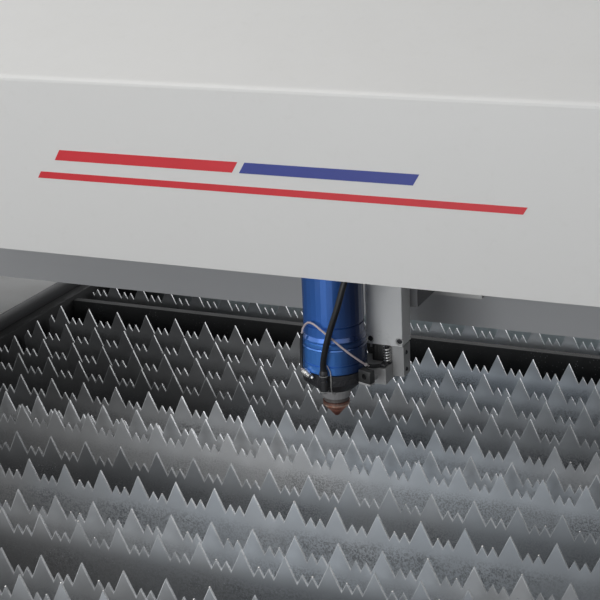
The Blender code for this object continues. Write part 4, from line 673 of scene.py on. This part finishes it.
def build_cords():
    hose = line_piece("gas_hose_skin", HOSE_ROUTE, 0.003, HOSE, HEAD, 5)
    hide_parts("gas_hose")
    round(length_of(HOSE_ROUTE), 4)
    cable = line_piece("sensor_cable_jacket", CABLE_ROUTE, 0.001, JACKET, HEAD, 5)
    boot = line_piece("cable_boot", CABLE_ROUTE[3:12], 0.0016, BLACK, HEAD, 4)
    sleeve = line_piece("cable_sleeve", CABLE_ROUTE[31:], 0.0019, BLACK, HEAD, 4)
    bm = bmesh.new()
    turn_ring(bm, ((0.001, 0), (0.0017, 0), (0.0017, 0.0016), (0.001, 0.0016)),
        facing(CABLE_ROUTE[30], CABLE_ROUTE[31] - CABLE_ROUTE[30]), 14)
    tip = piece("cable_tip_ring", bm, BRIGHT, HEAD)
    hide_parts("sensor_cable")
    round(length_of(CABLE_ROUTE), 4)
    build_plug()
    wire = line_piece("sense_wire", WIRE_ROUTE, 0.0005, WIRE, HEAD, 4)
    round(length_of(WIRE_ROUTE), 4)


build_cords()


# ---- Cutting head ----

def build_front_plate():
    """Folded plate over the lifting slide, its two lower screws sunk in counterbores."""
    low, high, back = Vector((0.0223, -0.1085)), Vector((0.0593, -0.0855)), 0.0025
    bend = 0.0008
    outline = ((low.x, high.y), (low.x, low.y + bend), (low.x + bend * 0.3, low.y + bend * 0.3),
        (low.x + bend, low.y), (high.x - bend, low.y), (high.x - bend * 0.3, low.y + bend * 0.3),
        (high.x, low.y + bend), (high.x, high.y), (high.x - back, high.y), (high.x - back, low.y + back),
        (low.x + back, low.y + back), (low.x + back, high.y))
    bm = bmesh.new()
    extrude(bm, outline, "Z", 0.892, 1.02)
    knife = bmesh.new()
    holes = [(x, low.y, z) for x, z in ((0.0263, 0.8967), (0.0561, 0.8967), (0.0263, 1.015), (0.0561, 1.015))]
    for x, y, z in holes:
        turn_shape(knife, ((0.0032, -0.0016), (0.0032, 0.0004), (0.0036, 0.001)), facing((x, y, z), FRONT), 24)
    plate = piece("front_plate", carved(bm, knife), PLATE_ALLOY, HEAD, 40)
    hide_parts("z_cover")
    screws = bmesh.new()
    for number, (x, y, z) in enumerate(holes):
        socket_screw(screws, (x, y + 0.0016, z), FRONT, 0.0026, number * 0.8, 0.0008)
    piece("front_plate_screws", screws, OXIDE, HEAD)
    rims = bmesh.new()
    for x, y, z in holes:
        turn_ring(rims, ((0.0033, -0.0001), (0.0036, 0.0002), (0.004, 0.0002), (0.0042, -0.0001)),
            facing((x, y, z), FRONT), 28)
    piece("front_plate_rims", rims, BRIGHT, HEAD)


def build_head_trim():
    axis = Matrix.Translation((0, NOZZLE_TIP.y, 0))
    bm = bmesh.new()
    # seat of the upper body, polished on its slope
    turn_ring(bm, ((0.0288, 0.9072), (0.0303, 0.9074), (0.0306, 0.908), (0.0306, 0.909), (0.0292, 0.9128),
        (0.0288, 0.913)), axis, 64)
    turn_ring(bm, ((0.0305, 0.8999), (0.0312, 0.9002), (0.0312, 0.9006), (0.0307, 0.9019), (0.0305, 0.902)),
        axis, 64)
    turn_ring(bm, ((0.0285, 0.984), (0.0291, 0.9836), (0.0291, 0.9856), (0.0283, 0.9868), (0.027, 0.9862)),
        axis, 64)
    piece("head_bright_rings", bm, BLUE_BRIGHT, HEAD, 20)
    bm = bmesh.new()
    for height in (0.8655, 0.8707):
        turn_ring(bm, ((0.0308, height), (0.0313, height + 0.0003), (0.0313, height + 0.0009),
            (0.0308, height + 0.0012)), axis, 64)
    for step in range(36):
        angle = math.tau * step / 36
        spot = Vector((0.031 * math.cos(angle), NOZZLE_TIP.y + 0.031 * math.sin(angle), 0))
        turn = Matrix.Translation(spot) @ Matrix.Rotation(angle, 4, "Z")
        slab(bm, (-0.0004, -0.0008, 0.8668), (0.0004, 0.0008, 0.8704), 0.0002, turn)
    piece("lens_ring_grip", bm, LENS_BLACK, HEAD)
    # four small clamp screws round the neck of the upper body
    bm = bmesh.new()
    for step in range(4):
        angle = math.tau * (step + 0.35) / 4
        out = Vector((math.cos(angle), math.sin(angle), 0))
        socket_screw(bm, Vector((0, NOZZLE_TIP.y, 0.978)) + out * 0.0288, out, 0.0021)
    piece("neck_screws", bm, OXIDE, HEAD)
    # rings of the hose fitting
    bm = bmesh.new()
    post = Matrix.Translation((0.003, -0.1695, 0))
    for height in (0.8624, 0.8781):
        turn_ring(bm, ((0.0036, height), (0.0044, height + 0.0002), (0.0044, height + 0.0008),
            (0.0036, height + 0.001)), post, 24)
    piece("fitting_rings", bm, BRIGHT, HEAD)
    bm = bmesh.new()
    turn_ring(bm, ((0.0028, 0.8789), (0.0041, 0.8791), (0.0041, 0.8815), (0.0035, 0.8838), (0.0029, 0.8838)),
        post, 24)
    piece("hose_cuff", bm, BLACK, HEAD)


def build_slide_trim():
    """Return spring on its pin, dust guard, clamp lug and clamp screw at the slide's foot."""
    middle = Vector((0.0437, -0.1092, 0))
    low, high, turns = 0.8752, 0.8905, 5.5
    coil = []
    for step in range(90):
        angle = math.tau * turns * step / 89
        coil.append(middle + Vector((0.003 * math.cos(angle), 0.003 * math.sin(angle),
            low + (high - low) * step / 89)))
    line_piece("return_spring", coil, 0.00078, BRIGHT, HEAD, 4)
    bm = bmesh.new()
    stud = Matrix.Translation(middle)
    turn_shape(bm, ((0.0018, 0.8742), (0.002, 0.8746), (0.002, 0.8912), (0.0018, 0.8916)), stud, 18)
    turn_shape(bm, ((0.0042, 0.8738), (0.0044, 0.8741), (0.0044, 0.875), (0.0042, 0.8754)), stud, 24)
    piece("spring_pin", bm, OXIDE, HEAD, 25)
    # lug that draws the clamp tight round the lens ring
    turned = Matrix.Translation((0, NOZZLE_TIP.y, 0)) @ Matrix.Rotation(math.radians(-18), 4, "Z")
    bm = bmesh.new()
    slab(bm, (0.0318, -0.0042, 0.8676), (0.0462, 0.0036, 0.8804), 0.001, turned)
    knife = bmesh.new()
    face = turned @ Vector((0.0392, -0.0042, 0.8742))
    out = (turned.to_3x3() @ Vector(FRONT)).normalized()
    turn_shape(knife, ((0.0029, -0.003), (0.0029, 0.0004), (0.0035, 0.0012)), facing(face, out), 24)
    piece("clamp_lug", carved(bm, knife), GUARD, HEAD, 35)
    bm = bmesh.new()
    slab(bm, (0.0316, -0.004, 0.8656), (0.046, 0.0034, 0.8677), 0.0007, turned)
    slab(bm, (0.033, 0.002, 0.866), (0.04, 0.015, 0.871), 0.0007, turned)
    piece("clamp_lug_foot", bm, SLIDE_GREY, HEAD)
    bm = bmesh.new()
    socket_screw(bm, face - out * 0.003, out, 0.0025, 0.4, 0.001)
    piece("clamp_screw", bm, OXIDE, HEAD)
    bm = bmesh.new()
    slab(bm, (0.0275, -0.1075, 0.8744), (0.0455, -0.089, 0.8922), 0.0012)
    for step in range(4):
        x = 0.03 + 0.0038 * step
        slab(bm, (x, -0.1085, 0.876), (x + 0.0018, -0.107, 0.8905), 0.0005)
    piece("dust_guard", bm, GUARD, HEAD)
    bm = bmesh.new()
    slab(bm, (0.0412, -0.1235, 0.8742), (0.047, -0.115, 0.8778), 0.001)
    piece("cable_clip", bm, BLACK, HEAD)
    screw_set("slide_foot_screws", button_screw, OXIDE, HEAD, 0.0022, (1, 0, 0),
        [(0.0593, -0.0985, 0.866), (0.0593, -0.0985, 0.883)])
    bm = bmesh.new()
    for x in (0.0285, 0.0531):
        socket_screw(bm, (x, -0.108, 1.045), UP, 0.0026)
    turn_ring(bm, ((0.003, -0.0002), (0.0052, -0.0002), (0.0052, 0.0022), (0.0046, 0.003), (0.003, 0.003)),
        facing((0.0408, -0.1257, 1.0335), FRONT), 24)
    piece("bracket_fittings", bm, BRIGHT, HEAD)


build_front_plate()
build_head_trim()
build_slide_trim()


# ---- Carriage ----

def ball_screw(name, node, start, end, radius, pitch, starts, plain, body):
    """Screw shaft with rounded ball grooves between two plain ends."""
    start, end = Vector(start), Vector(end)
    length = (end - start).length
    matrix = facing(start, end - start)
    rows = int(length / pitch * 7)
    bm = bmesh.new()
    rings = []
    for row in range(rows + 1):
        height = length * row / rows

        def reach(angle):
            deep = 0
            if plain < height < length - plain:
                phase = (height / pitch - angle / math.tau * starts) % 1
                deep = max(0, 1 - (abs(phase - 0.5) / 0.32) ** 2)
            return radius * (1 - 0.13 * deep)

        rings.append(add_ring(bm, matrix, 20, height, reach))
    cover(bm, rings)
    made = piece(name, bm, SCREW_STEEL, body, 45)
    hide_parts(node)


def motor_dress(name, face, direction, half, length, body):
    """Flange, end bell, cooling ribs and bolts of a motor; face is the middle of its shaft side."""
    matrix = facing(face, direction)
    edge = half + 0.0005
    bm = bmesh.new()
    slab(bm, (-edge, -edge, -0.007), (edge, edge, -0.0003), 0.0012, matrix)
    slab(bm, (-edge, -edge, -length - 0.0008), (edge, edge, -length + 0.014), 0.0016, matrix)
    piece(name + "_bells", bm, ALLOY, body)
    bm = bmesh.new()
    steps = 7
    for step in range(steps):
        across = (step / (steps - 1) - 0.5) * half * 1.3
        for turned in range(4):
            turn = matrix @ Matrix.Rotation(turned * math.pi / 2, 4, "Z")
            slab(bm, (across - 0.0011, half - 0.0004, -length + 0.018), (across + 0.0011, half + 0.0011,
                -0.011), 0.0004, turn)
    piece(name + "_ribs", bm, BLACK, body)
    bm = bmesh.new()
    at = half * 0.8
    for x in (-at, at):
        for y in (-at, at):
            socket_screw(bm, matrix @ Vector((x, y, -length - 0.0008)), -Vector(direction), 0.0026)
    piece(name + "_bolts", bm, OXIDE, body)


def build_carriage():
    ball_screw("lift_screw_shaft", "z_screw", (0.0408, -0.045, 0.9303), (0.0408, -0.045, 1.0997), 0.006, 0.005,
        1, 0.008, "lift_screw")
    motor_dress("lift_motor", (0.0408, -0.045, 1.1003), (0, 0, -1), 0.021, 0.05, "carriage")
    screw_set("carriage_screws", socket_screw, OXIDE, "carriage", 0.004, FRONT,
        [(x, -0.0035, z) for x in (-0.036, -0.008, 0.082, 0.098) for z in (0.925, 0.985)])
    screw_set("housing_screws", button_screw, OXIDE, "carriage", 0.0028, (1, 0, 0),
        [(0.0668, y, z) for y in (-0.07, -0.018) for z in (0.94, 1.01, 1.085)])


build_carriage()


# ---- Gantry ----

def build_stripes():
    """Thin painted films on the hood's front, their ends cut at a slant."""
    front = -0.2035
    for name, material, left, right, low, high in (("red_stripe", RED_LINE, -0.2705, 0.205, 1.0606, 1.067),
            ("upper_red_stripe", RED_LINE, -0.25, -0.064, 1.079, 1.089), ("upper_blue_stripe", BLUE_LINE,
            -0.057, 0.108, 1.079, 1.089)):
        lean = (high - low) * 0.6
        bm = bmesh.new()
        extrude(bm, ((left, low), (right, low), (right + lean, high), (left + lean, high)), "Y",
            front - 0.00022, front + 0.0001)
        piece(name, bm, material, "gantry", 0)


def louvre_row(shapes, slot_shade, matrix, width, height):
    """One pressed louvre: a hooded slot that opens downwards."""
    half, proud = width / 2, height * 0.42
    rows = ((half, height / 2, -0.0002), (half - 0.002, height * 0.36, proud * 0.35),
        (half - 0.005, height * 0.05, proud * 0.9), (half - 0.006, -height * 0.3, proud),
        (half - 0.006, -height * 0.34, proud * 0.9))
    spots = []
    for reach, up, out in rows:
        spots.append([shapes.verts.new(matrix @ Vector((side * reach, up, out))) for side in (-1, 1)])
    for (a, b), (c, d) in zip(spots, spots[1:]):
        shapes.faces.new((a, b, d, c))
    ends = []
    for side in (0, 1):
        foot = shapes.verts.new(matrix @ Vector(((side * 2 - 1) * half, -height * 0.34, -0.0002)))
        ends.append(foot)
        shapes.faces.new([pair[side] for pair in spots] + [foot])
    shapes.faces.new((spots[-1][0], spots[-1][1], ends[1], ends[0]))
    shapes.faces.new((spots[0][0], spots[0][1], ends[1], ends[0]))
    # painted shade: a black slab fills the slot's opening
    slab(slot_shade, (-half + 0.008, -height * 0.36, 0.0003), (half - 0.008, -height * 0.33, proud * 0.75), 0, matrix)


def louvre_field(name, places, normal, width, height, material, body):
    shapes, slot_shade = bmesh.new(), bmesh.new()
    for spot in places:
        out = Vector(normal)
        across = Vector(UP).cross(out)
        matrix = Matrix.Translation(spot) @ Matrix((across, UP, out)).transposed().to_4x4()
        louvre_row(shapes, slot_shade, matrix, width, height)
    piece(name, shapes, material, body, 30)
    piece(name + "_gaps", slot_shade, BLACK, body)


def build_hood_trim():
    for side, word in SIDES:
        face = side * 0.74
        screw_set("hood_end_screws_" + word, button_screw, OXIDE, "gantry", 0.0045, (side, 0, 0),
            [(face, y, z) for y, z in ((-0.188, 1.01), (-0.188, 1.135), (-0.1, 1.168), (-0.02, 1.2),
            (0.08, 1.2), (0.178, 1.2), (0.178, 1.06), (0.178, 0.925), (0.06, 0.925), (-0.06, 1.004))])
    screw_set("hood_back_screws", button_screw, OXIDE, "gantry", 0.0045, BACK,
        [(x / 100, 0.1965, z) for x in (-70, -35, 0, 35, 70) for z in (0.915, 1.2)])
    louvre_field("hood_louvres", [(x / 100, 0.1965, z) for x in (-52, -32, 32, 52) for z in (1, 1.024, 1.048,
        1.072, 1.096)], BACK, 0.15, 0.015, HOOD_WHITE, "gantry")


def build_gantry_ends():
    """Bolts through the leg plates, and the wipers on their guide shoes."""
    outline = ((0.6496, 0.7668), (0.6496, 0.759), (0.6592, 0.759), (0.6592, 0.734), (0.6496, 0.734),
        (0.6496, 0.7262), (0.6892, 0.7262), (0.6892, 0.7668))
    for side, word in SIDES:
        out = (side, 0, 0)
        face = side * 0.705
        screw_set("leg_bolts_" + word, socket_screw, OXIDE, "gantry", 0.0062, out,
            [(face, y, z) for y in (0.0305, 0.0725, 0.1205, 0.1625) for z in (0.73, 0.763)]
            + [(face, y, 0.882) for y in (0.048, 0.0965, 0.145)])
        screw_set("nut_bolts_" + word, socket_screw, OXIDE, "gantry", 0.0038, out,
            [(face, y, z) for y in (0.084, 0.109) for z in (0.68, 0.7)])
        bm = bmesh.new()
        shape = [(side * x, z) for x, z in outline]
        extrude(bm, shape, "Y", 0.0032, 0.0066)
        extrude(bm, shape, "Y", 0.1864, 0.1898)
        piece("shoe_wipers_" + word, bm, RED, "gantry")
        bm = bmesh.new()
        for y, normal in ((0.0032, FRONT), (0.1898, BACK)):
            for z in (0.73, 0.763):
                button_screw(bm, (side * 0.674, y, z), normal, 0.0022)
        piece("wiper_screws_" + word, bm, STEEL, "gantry")
        # round flange of the screw nut
        bm = bmesh.new()
        for y, normal in ((0.0785, FRONT), (0.1145, BACK)):
            turn_ring(bm, ((0.0106, -0.0002), (0.0172, -0.0002), (0.0172, 0.003), (0.0164, 0.0038),
                (0.0112, 0.0038), (0.0106, 0.0032)), facing((side * 0.668, y, 0.69), normal), 32)
        piece("nut_flanges_" + word, bm, SCREW_STEEL, "gantry")


def build_cross_drive():
    ball_screw("cross_screw_shaft", "x_screw", (-0.5997, 0.0225, 0.955), (0.66, 0.0225, 0.955), 0.008, 0.01, 2,
        0.05, "cross_screw")
    motor_dress("cross_motor", (-0.6003, -0.0061, 0.955), (1, 0, 0), 0.028, 0.085, "gantry")
    screw_set("cross_rail_caps", rail_cap, BLACK, "gantry", 0.0032, FRONT, [(x * 0.06, 0.0222, z)
        for x in range(-11, 12) for z in (0.925, 0.985)])
    bm = bmesh.new()
    for x, normal in ((-0.5797, (1, 0, 0)), (0.6397, (-1, 0, 0))):
        turn_ring(bm, ((0.0086, -0.0002), (0.0126, -0.0002), (0.0126, 0.002), (0.0086, 0.002)),
            facing((x, 0.0225, 0.955), normal), 24)
    piece("cross_bearing_rings", bm, ALLOY, "gantry")


build_stripes()
build_hood_trim()
build_gantry_ends()
build_cross_drive()


# ---- Base ----

def build_bed_trim():
    """Black strips inside the covers, painted shade under their edges, and beads of slag on the teeth."""
    for side, word in SIDES:
        # painted shade: a black strip on the inner face of each cover
        bm = bmesh.new()
        outline = ((0.5171, 0.7904), (0.515, 0.7904), (0.5143, 0.7935), (0.5152, 0.8), (0.5152, 0.8082),
            (0.516, 0.8093), (0.5171, 0.8094))
        extrude(bm, [(side * x, z) for x, z in outline], "Y", -0.588, 0.588)
        piece("cover_shade_strip_" + word, bm, BLACK, "base", 40)
    spread = random.Random(11)
    bm = bmesh.new()
    for place, shift, *_ in SLATS:
        for number in range(-13, 14):
            for offset, height, share in ((0, TIP_HEIGHT, 0.1), (SMALL_TIP_REACH, SMALL_TIP_HEIGHT, 0.42),
                    (TOOTH_PITCH - SMALL_TIP_REACH, SMALL_TIP_HEIGHT, 0.42)):
                x = (number + shift) * TOOTH_PITCH + offset
                if abs(x) > 0.49 or spread.random() > share:
                    continue
                size = spread.uniform(0.0007, 0.0011)
                squash = Matrix.Diagonal((1, 1.25, spread.uniform(0.6, 0.9), 1))
                spot = Matrix.Translation((x, place, height - size * 0.5))
                bmesh.ops.create_icosphere(bm, subdivisions=1, radius=size, matrix=spot @ squash)
    piece("slag_beads", bm, BRIGHT, "base", 80)


def build_stop_trim():
    x, y = 0.57865, -0.553
    bm = bmesh.new()
    for dx in (-0.0205, 0.0205):
        for dy in (-0.0205, 0.0205):
            button_screw(bm, (x + dx, y + dy, 0.84), UP, 0.0022)
    piece("stop_screws", bm, OXIDE, "base")
    bm = bmesh.new()
    turn_ring(bm, ((0.01, 0.8398), (0.0165, 0.8398), (0.0165, 0.8408), (0.0158, 0.8416), (0.0104, 0.8416)),
        Matrix.Translation((x, y, 0)), 36)
    piece("stop_collar", bm, BLACK, "base")


def build_long_drives():
    for side, word in SIDES:
        x = side * 0.668
        ball_screw("long_screw_shaft_" + word, "y_screw_" + word, (x, -0.4897, 0.69), (x, 0.56, 0.69), 0.01,
            0.01, 2, 0.03, word + "_screw")
        motor_dress("long_motor_" + word, (side * 0.6703, -0.4903, 0.69), BACK, 0.03, 0.09, "base")
        screw_set("long_rail_caps_" + word, rail_cap, BLACK, "base", 0.0045, (side, 0, 0),
            [(side * 0.6583, step * 0.06, 0.7465) for step in range(-9, 10)])
        bm = bmesh.new()
        for y, normal in ((-0.47, BACK), (0.54, FRONT), (0.56, BACK)):
            matrix = facing((x, y, 0.69), normal)
            turn_ring(bm, ((0.0106, -0.0002), (0.0152, -0.0002), (0.0152, 0.0016), (0.0146, 0.0022),
                (0.0112, 0.0022)), matrix, 28)
        piece("bearing_rings_" + word, bm, ALLOY, "base")
        bm = bmesh.new()
        turn_shape(bm, ((0.006, -0.0002), (0.0062, 0.008), (0.0085, 0.0085), (0.0085, 0.013), (0.006, 0.014),
            (0.003, 0.0142)), facing((side * 0.7003, -0.565, 0.69), (side, 0, 0)), 20, (2, 3))
        piece("motor_plug_" + word, bm, BLACK, "base")


def build_panels():
    louvres = [(y, z) for y in (-0.2, 0, 0.2) for z in (0.4, 0.426, 0.452, 0.478, 0.504, 0.53)]
    for side, word in SIDES:
        louvre_field("side_louvres_" + word, [(side * 0.6397, y, z) for y, z in louvres], (side, 0, 0), 0.15,
            0.016, WHITE, "base")
        screw_set("side_screws_" + word, button_screw, OXIDE, "base", 0.0042, (side, 0, 0),
            [(side * 0.6397, y, z) for y in (-0.492, -0.164, 0.164, 0.492) for z in (0.08, 0.612)])
    screw_set("front_screws", button_screw, OXIDE, "base", 0.0042, FRONT, [(x, -0.5897, z) for x in (-0.545,
        -0.182, 0.182, 0.545) for z in (0.08, 0.612)])
    screw_set("rear_screws", button_screw, OXIDE, "base", 0.0042, BACK, [(x, 0.5897, z) for x in (-0.545, -0.33,
        0.355, 0.545) for z in (0.08, 0.612)])
    screw_set("deck_screws", button_screw, OXIDE, "base", 0.0042, UP, [(x, y, 0.789) for x in (-0.5, -0.167,
        0.167, 0.5) for y in (0.342, 0.574)])
    bm = bmesh.new()
    for x in (-0.6, 0.6):
        for y in (-0.55, 0.55):
            turn_shape(bm, ((0.014, 0.0385), (0.015, 0.039), (0.015, 0.048), (0.014, 0.0485)),
                Matrix.Translation((x, y, 0)), 24, (0, 1, 2, 3))
    piece("foot_nuts", bm, STEEL, "base", 25)


def build_door_trim():
    """Two barrel hinges, a swing handle in its frame and the hoods of the louvres."""
    x, y = 0.2997, 0.5897
    for word, z in (("low", 0.215), ("high", 0.515)):
        fixed, moving = bmesh.new(), bmesh.new()
        for low, high, shape in ((-0.03, -0.0105, fixed), (-0.01, 0.01, moving), (0.0105, 0.03, fixed)):
            turn_shape(shape, ((0.0036, z + low), (0.0042, z + low + 0.0006), (0.0042, z + high - 0.0006),
                (0.0036, z + high)), Matrix.Translation((x, y, 0)), 20)
        slab(fixed, (x + 0.003, y - 0.0002, z - 0.03), (x + 0.032, y + 0.0014, z + 0.03), 0.0006)
        slab(moving, (x - 0.032, y - 0.0002, z - 0.03), (x - 0.003, y + 0.0014, z + 0.03), 0.0006)
        for dz in (-0.02, 0, 0.02):
            button_screw(fixed, (x + 0.02, y + 0.0014, z + dz), BACK, 0.003)
            button_screw(moving, (x - 0.02, y + 0.0014, z + dz), BACK, 0.003)
        piece("hinge_leaf_" + word, fixed, STEEL, "base")
        piece("door_hinge_leaf_" + word, moving, STEEL, "door")
    frame_shape, knife = bmesh.new(), bmesh.new()
    slab(frame_shape, (-0.2705, 0.5885, 0.4305), (-0.236, 0.5912, 0.55), 0.001)
    slab(knife, (-0.2635, 0.58, 0.437), (-0.243, 0.6, 0.5435))
    piece("handle_frame", carved(frame_shape, knife), BLACK, "door")
    bm = bmesh.new()
    slab(bm, (-0.2625, 0.587, 0.456), (-0.244, 0.5925, 0.5425), 0.0018)
    turn_shape(bm, ((0.0075, 0), (0.0078, 0.004), (0.007, 0.005), (0.0022, 0.005), (0.0018, 0.003)),
        facing((-0.25325, 0.5868, 0.4465), BACK), 24)
    piece("swing_handle", bm, OXIDE, "door")
    bm = bmesh.new()
    for step in range(4):
        low = 0.222 + 0.036 * step
        extrude(bm, ((0.5898, low - 0.0035), (0.5912, low - 0.003), (0.5912, low - 0.0005), (0.5898, low)), "X",
            -0.152, 0.152)
        extrude(bm, ((0.5898, low + 0.0118), (0.5912, low + 0.0128), (0.594, low + 0.004),
            (0.5934, low + 0.0036), (0.5898, low + 0.014)), "X", -0.152, 0.152)
    piece("door_louvre_hoods", bm, WHITE, "door", 20)


def rounded_loop(x_half, low, high, radius, y):
    spots = []
    for middle_x, middle_z, start in ((x_half - radius, high - radius, 0), (radius - x_half, high - radius,
            0.25), (radius - x_half, low + radius, 0.5), (x_half - radius, low + radius, 0.75)):
        for step in range(6):
            angle = math.tau * (start + step / 20)
            spots.append(Vector((middle_x + radius * math.cos(angle), y, middle_z + radius * math.sin(angle))))
    return spots


def build_drawer_trim():
    line_piece("grip_edging", rounded_loop(0.0905, 0.2895, 0.3185, 0.004, -0.589), 0.0022, BLACK, "drawer", 3,
        True)
    screw_set("drawer_screws", button_screw, OXIDE, "drawer", 0.004, FRONT, [(x, -0.5897, z) for x in (-0.325,
        0.325) for z in (0.14, 0.345)])
    bm = bmesh.new()
    extrude(bm, ((-0.5899, 0.3656), (-0.5912, 0.3656), (-0.592, 0.3668), (-0.5912, 0.3684), (-0.5875, 0.3684),
        (-0.5875, 0.3681), (-0.5899, 0.3681)), "X", -0.343, 0.343)
    piece("drawer_top_edging", bm, BLACK, "drawer", 40)


def build_source_trim():
    """Fan guards, sockets and handles on the laser source's rear face."""
    face = 0.54
    bm = bmesh.new()
    slab(bm, (-0.3, face - 0.0005, 0.126), (0.3, face + 0.0025, 0.33), 0.001)
    piece("source_plate", bm, GREY, "base")
    bm = bmesh.new()
    for x in (-0.22, -0.11):
        matrix = facing((x, face + 0.005, 0.228), BACK)
        for radius in (0.012, 0.022, 0.032, 0.042):
            turn_ring(bm, ((radius, -0.0009), (radius + 0.0009, 0), (radius, 0.0009), (radius - 0.0009, 0)),
                matrix, 36)
        for turned in range(2):
            slab(bm, (-0.047, -0.0011, -0.0014), (0.047, 0.0011, -0.0002), 0.0004,
                matrix @ Matrix.Rotation(turned * math.pi / 2 + 0.78, 4, "Z"))
    for x in (0.255, 0.285):
        turn_shape(bm, ((0.003, 0), (0.003, 0.022), (0.0024, 0.024)), facing((x, face, 0.3), BACK), 14)
    piece("fan_guards", bm, STEEL, "base")
    bm = bmesh.new()
    for x in (-0.22, -0.11):
        turn_shape(bm, ((0.046, 0.0022), (0.046, 0.003), (0.043, 0.0032), (0.015, 0.0024)),
            facing((x, face, 0.228), BACK), 40)
    for x, radius in ((0.03, 0.016), (0.08, 0.016), (0.13, 0.012), (0.17, 0.012)):
        turn_shape(bm, ((radius, 0.002), (radius, 0.01), (radius * 0.92, 0.012), (radius * 0.6, 0.012),
            (radius * 0.55, 0.005)), facing((x, face, 0.2), BACK), 24)
    slab(bm, (0.225, face + 0.002, 0.18), (0.265, face + 0.01, 0.212), 0.002)
    piece("source_sockets", bm, BLACK, "base")


build_bed_trim()
build_stop_trim()
build_long_drives()
build_panels()
build_door_trim()
build_drawer_trim()
build_source_trim()


# ---- Floor and light ----

BACKDROP = (0.96, 0.97, 0.98)


def plain_stage():
    floor = bpy.data.meshes.new("floor")
    size = 9
    floor.from_pydata([(-size, -size, 0), (size, -size, 0), (size, size, 0), (-size, size, 0)], [],
        [(0, 1, 2, 3)])
    f = Finish("floor_paint", Roughness=0.75)
    f.wire("Base Color", f.mix(f.noise(1.5, 4), (0.8, 0.8, 0.795), (0.76, 0.76, 0.755)))
    # far from the machine the floor runs into the pale backdrop
    x, y, _ = f.split(f.place)
    far = f.step((x * x + y * y) ** 0.5, 1.3, 4.2) * f.node("ShaderNodeLightPath", {}, {}, "Is Camera Ray")
    pale = f.node("ShaderNodeEmission", {}, {"Color": (*BACKDROP, 1), "Strength": 1})
    blend = f.node("ShaderNodeMixShader", {}, {0: far, 1: Tone(f, f.shader.outputs[0]), 2: pale})
    f.tree.links.new(blend.socket, f.tree.nodes["Material Output"].inputs["Surface"])
    floor.materials.append(f.material)
    made = bpy.data.objects.new("floor", floor)
    bpy.context.scene.collection.objects.link(made)


def lamp(name, spot, aim, size, power, colour=(1, 1, 1)):
    data = bpy.data.lights.new(name, "AREA")
    data.shape = "RECTANGLE"
    data.size, data.size_y = size
    data.energy = power
    data.color = colour
    made = bpy.data.objects.new(name, data)
    made.matrix_world = facing(spot, Vector(spot) - Vector(aim))
    bpy.context.scene.collection.objects.link(made)


def studio_world():
    """Soft even light, with a pale backdrop for the camera and for what metal and glass show."""
    world = bpy.data.worlds.new("studio")
    world.use_nodes = True
    nodes, links = world.node_tree.nodes, world.node_tree.links
    fill = nodes["Background"]
    fill.inputs["Color"].default_value = (0.93, 0.96, 1, 1)
    fill.inputs["Strength"].default_value = 0.27
    backdrop = nodes.new("ShaderNodeBackground")
    backdrop.inputs["Color"].default_value = (*BACKDROP, 1)
    backdrop.inputs["Strength"].default_value = 1
    rays = nodes.new("ShaderNodeLightPath")
    seen = rays.outputs["Is Camera Ray"]
    for word in ("Is Glossy Ray", "Is Transmission Ray"):
        either = nodes.new("ShaderNodeMath")
        either.operation = "MAXIMUM"
        links.new(seen, either.inputs[0])
        links.new(rays.outputs[word], either.inputs[1])
        seen = either.outputs[0]
    blend = nodes.new("ShaderNodeMixShader")
    links.new(seen, blend.inputs[0])
    links.new(fill.outputs[0], blend.inputs[1])
    links.new(backdrop.outputs[0], blend.inputs[2])
    links.new(blend.outputs[0], nodes["World Output"].inputs["Surface"])
    bpy.context.scene.world = world


def soft_light():
    studio_world()
    lamp("ceiling", (-1.2, -0.6, 3), (0, 0, 0.8), (2, 2), 18, (1, 0.99, 0.97))
    lamp("high", (-0.7, -2.3, 3.5), (0, -0.2, 0.8), (2.6, 2), 27, (1, 0.99, 0.98))
    lamp("left", (-1, -3, 2), (0, -0.2, 0.85), (2, 1), 6, (0.98, 0.99, 1))
    lamp("low", (-0.3, -2.6, 1.1), (0, 0, 0.9), (1.2, 0.8), 15, (0.94, 0.97, 1))
    lamp("rear", (1.2, 3.6, 1.5), (0, 0.3, 0.6), (2.4, 1.4), 34, (0.98, 0.99, 1))


plain_stage()
soft_light()
bpy.context.scene.view_settings.view_transform = "Standard"
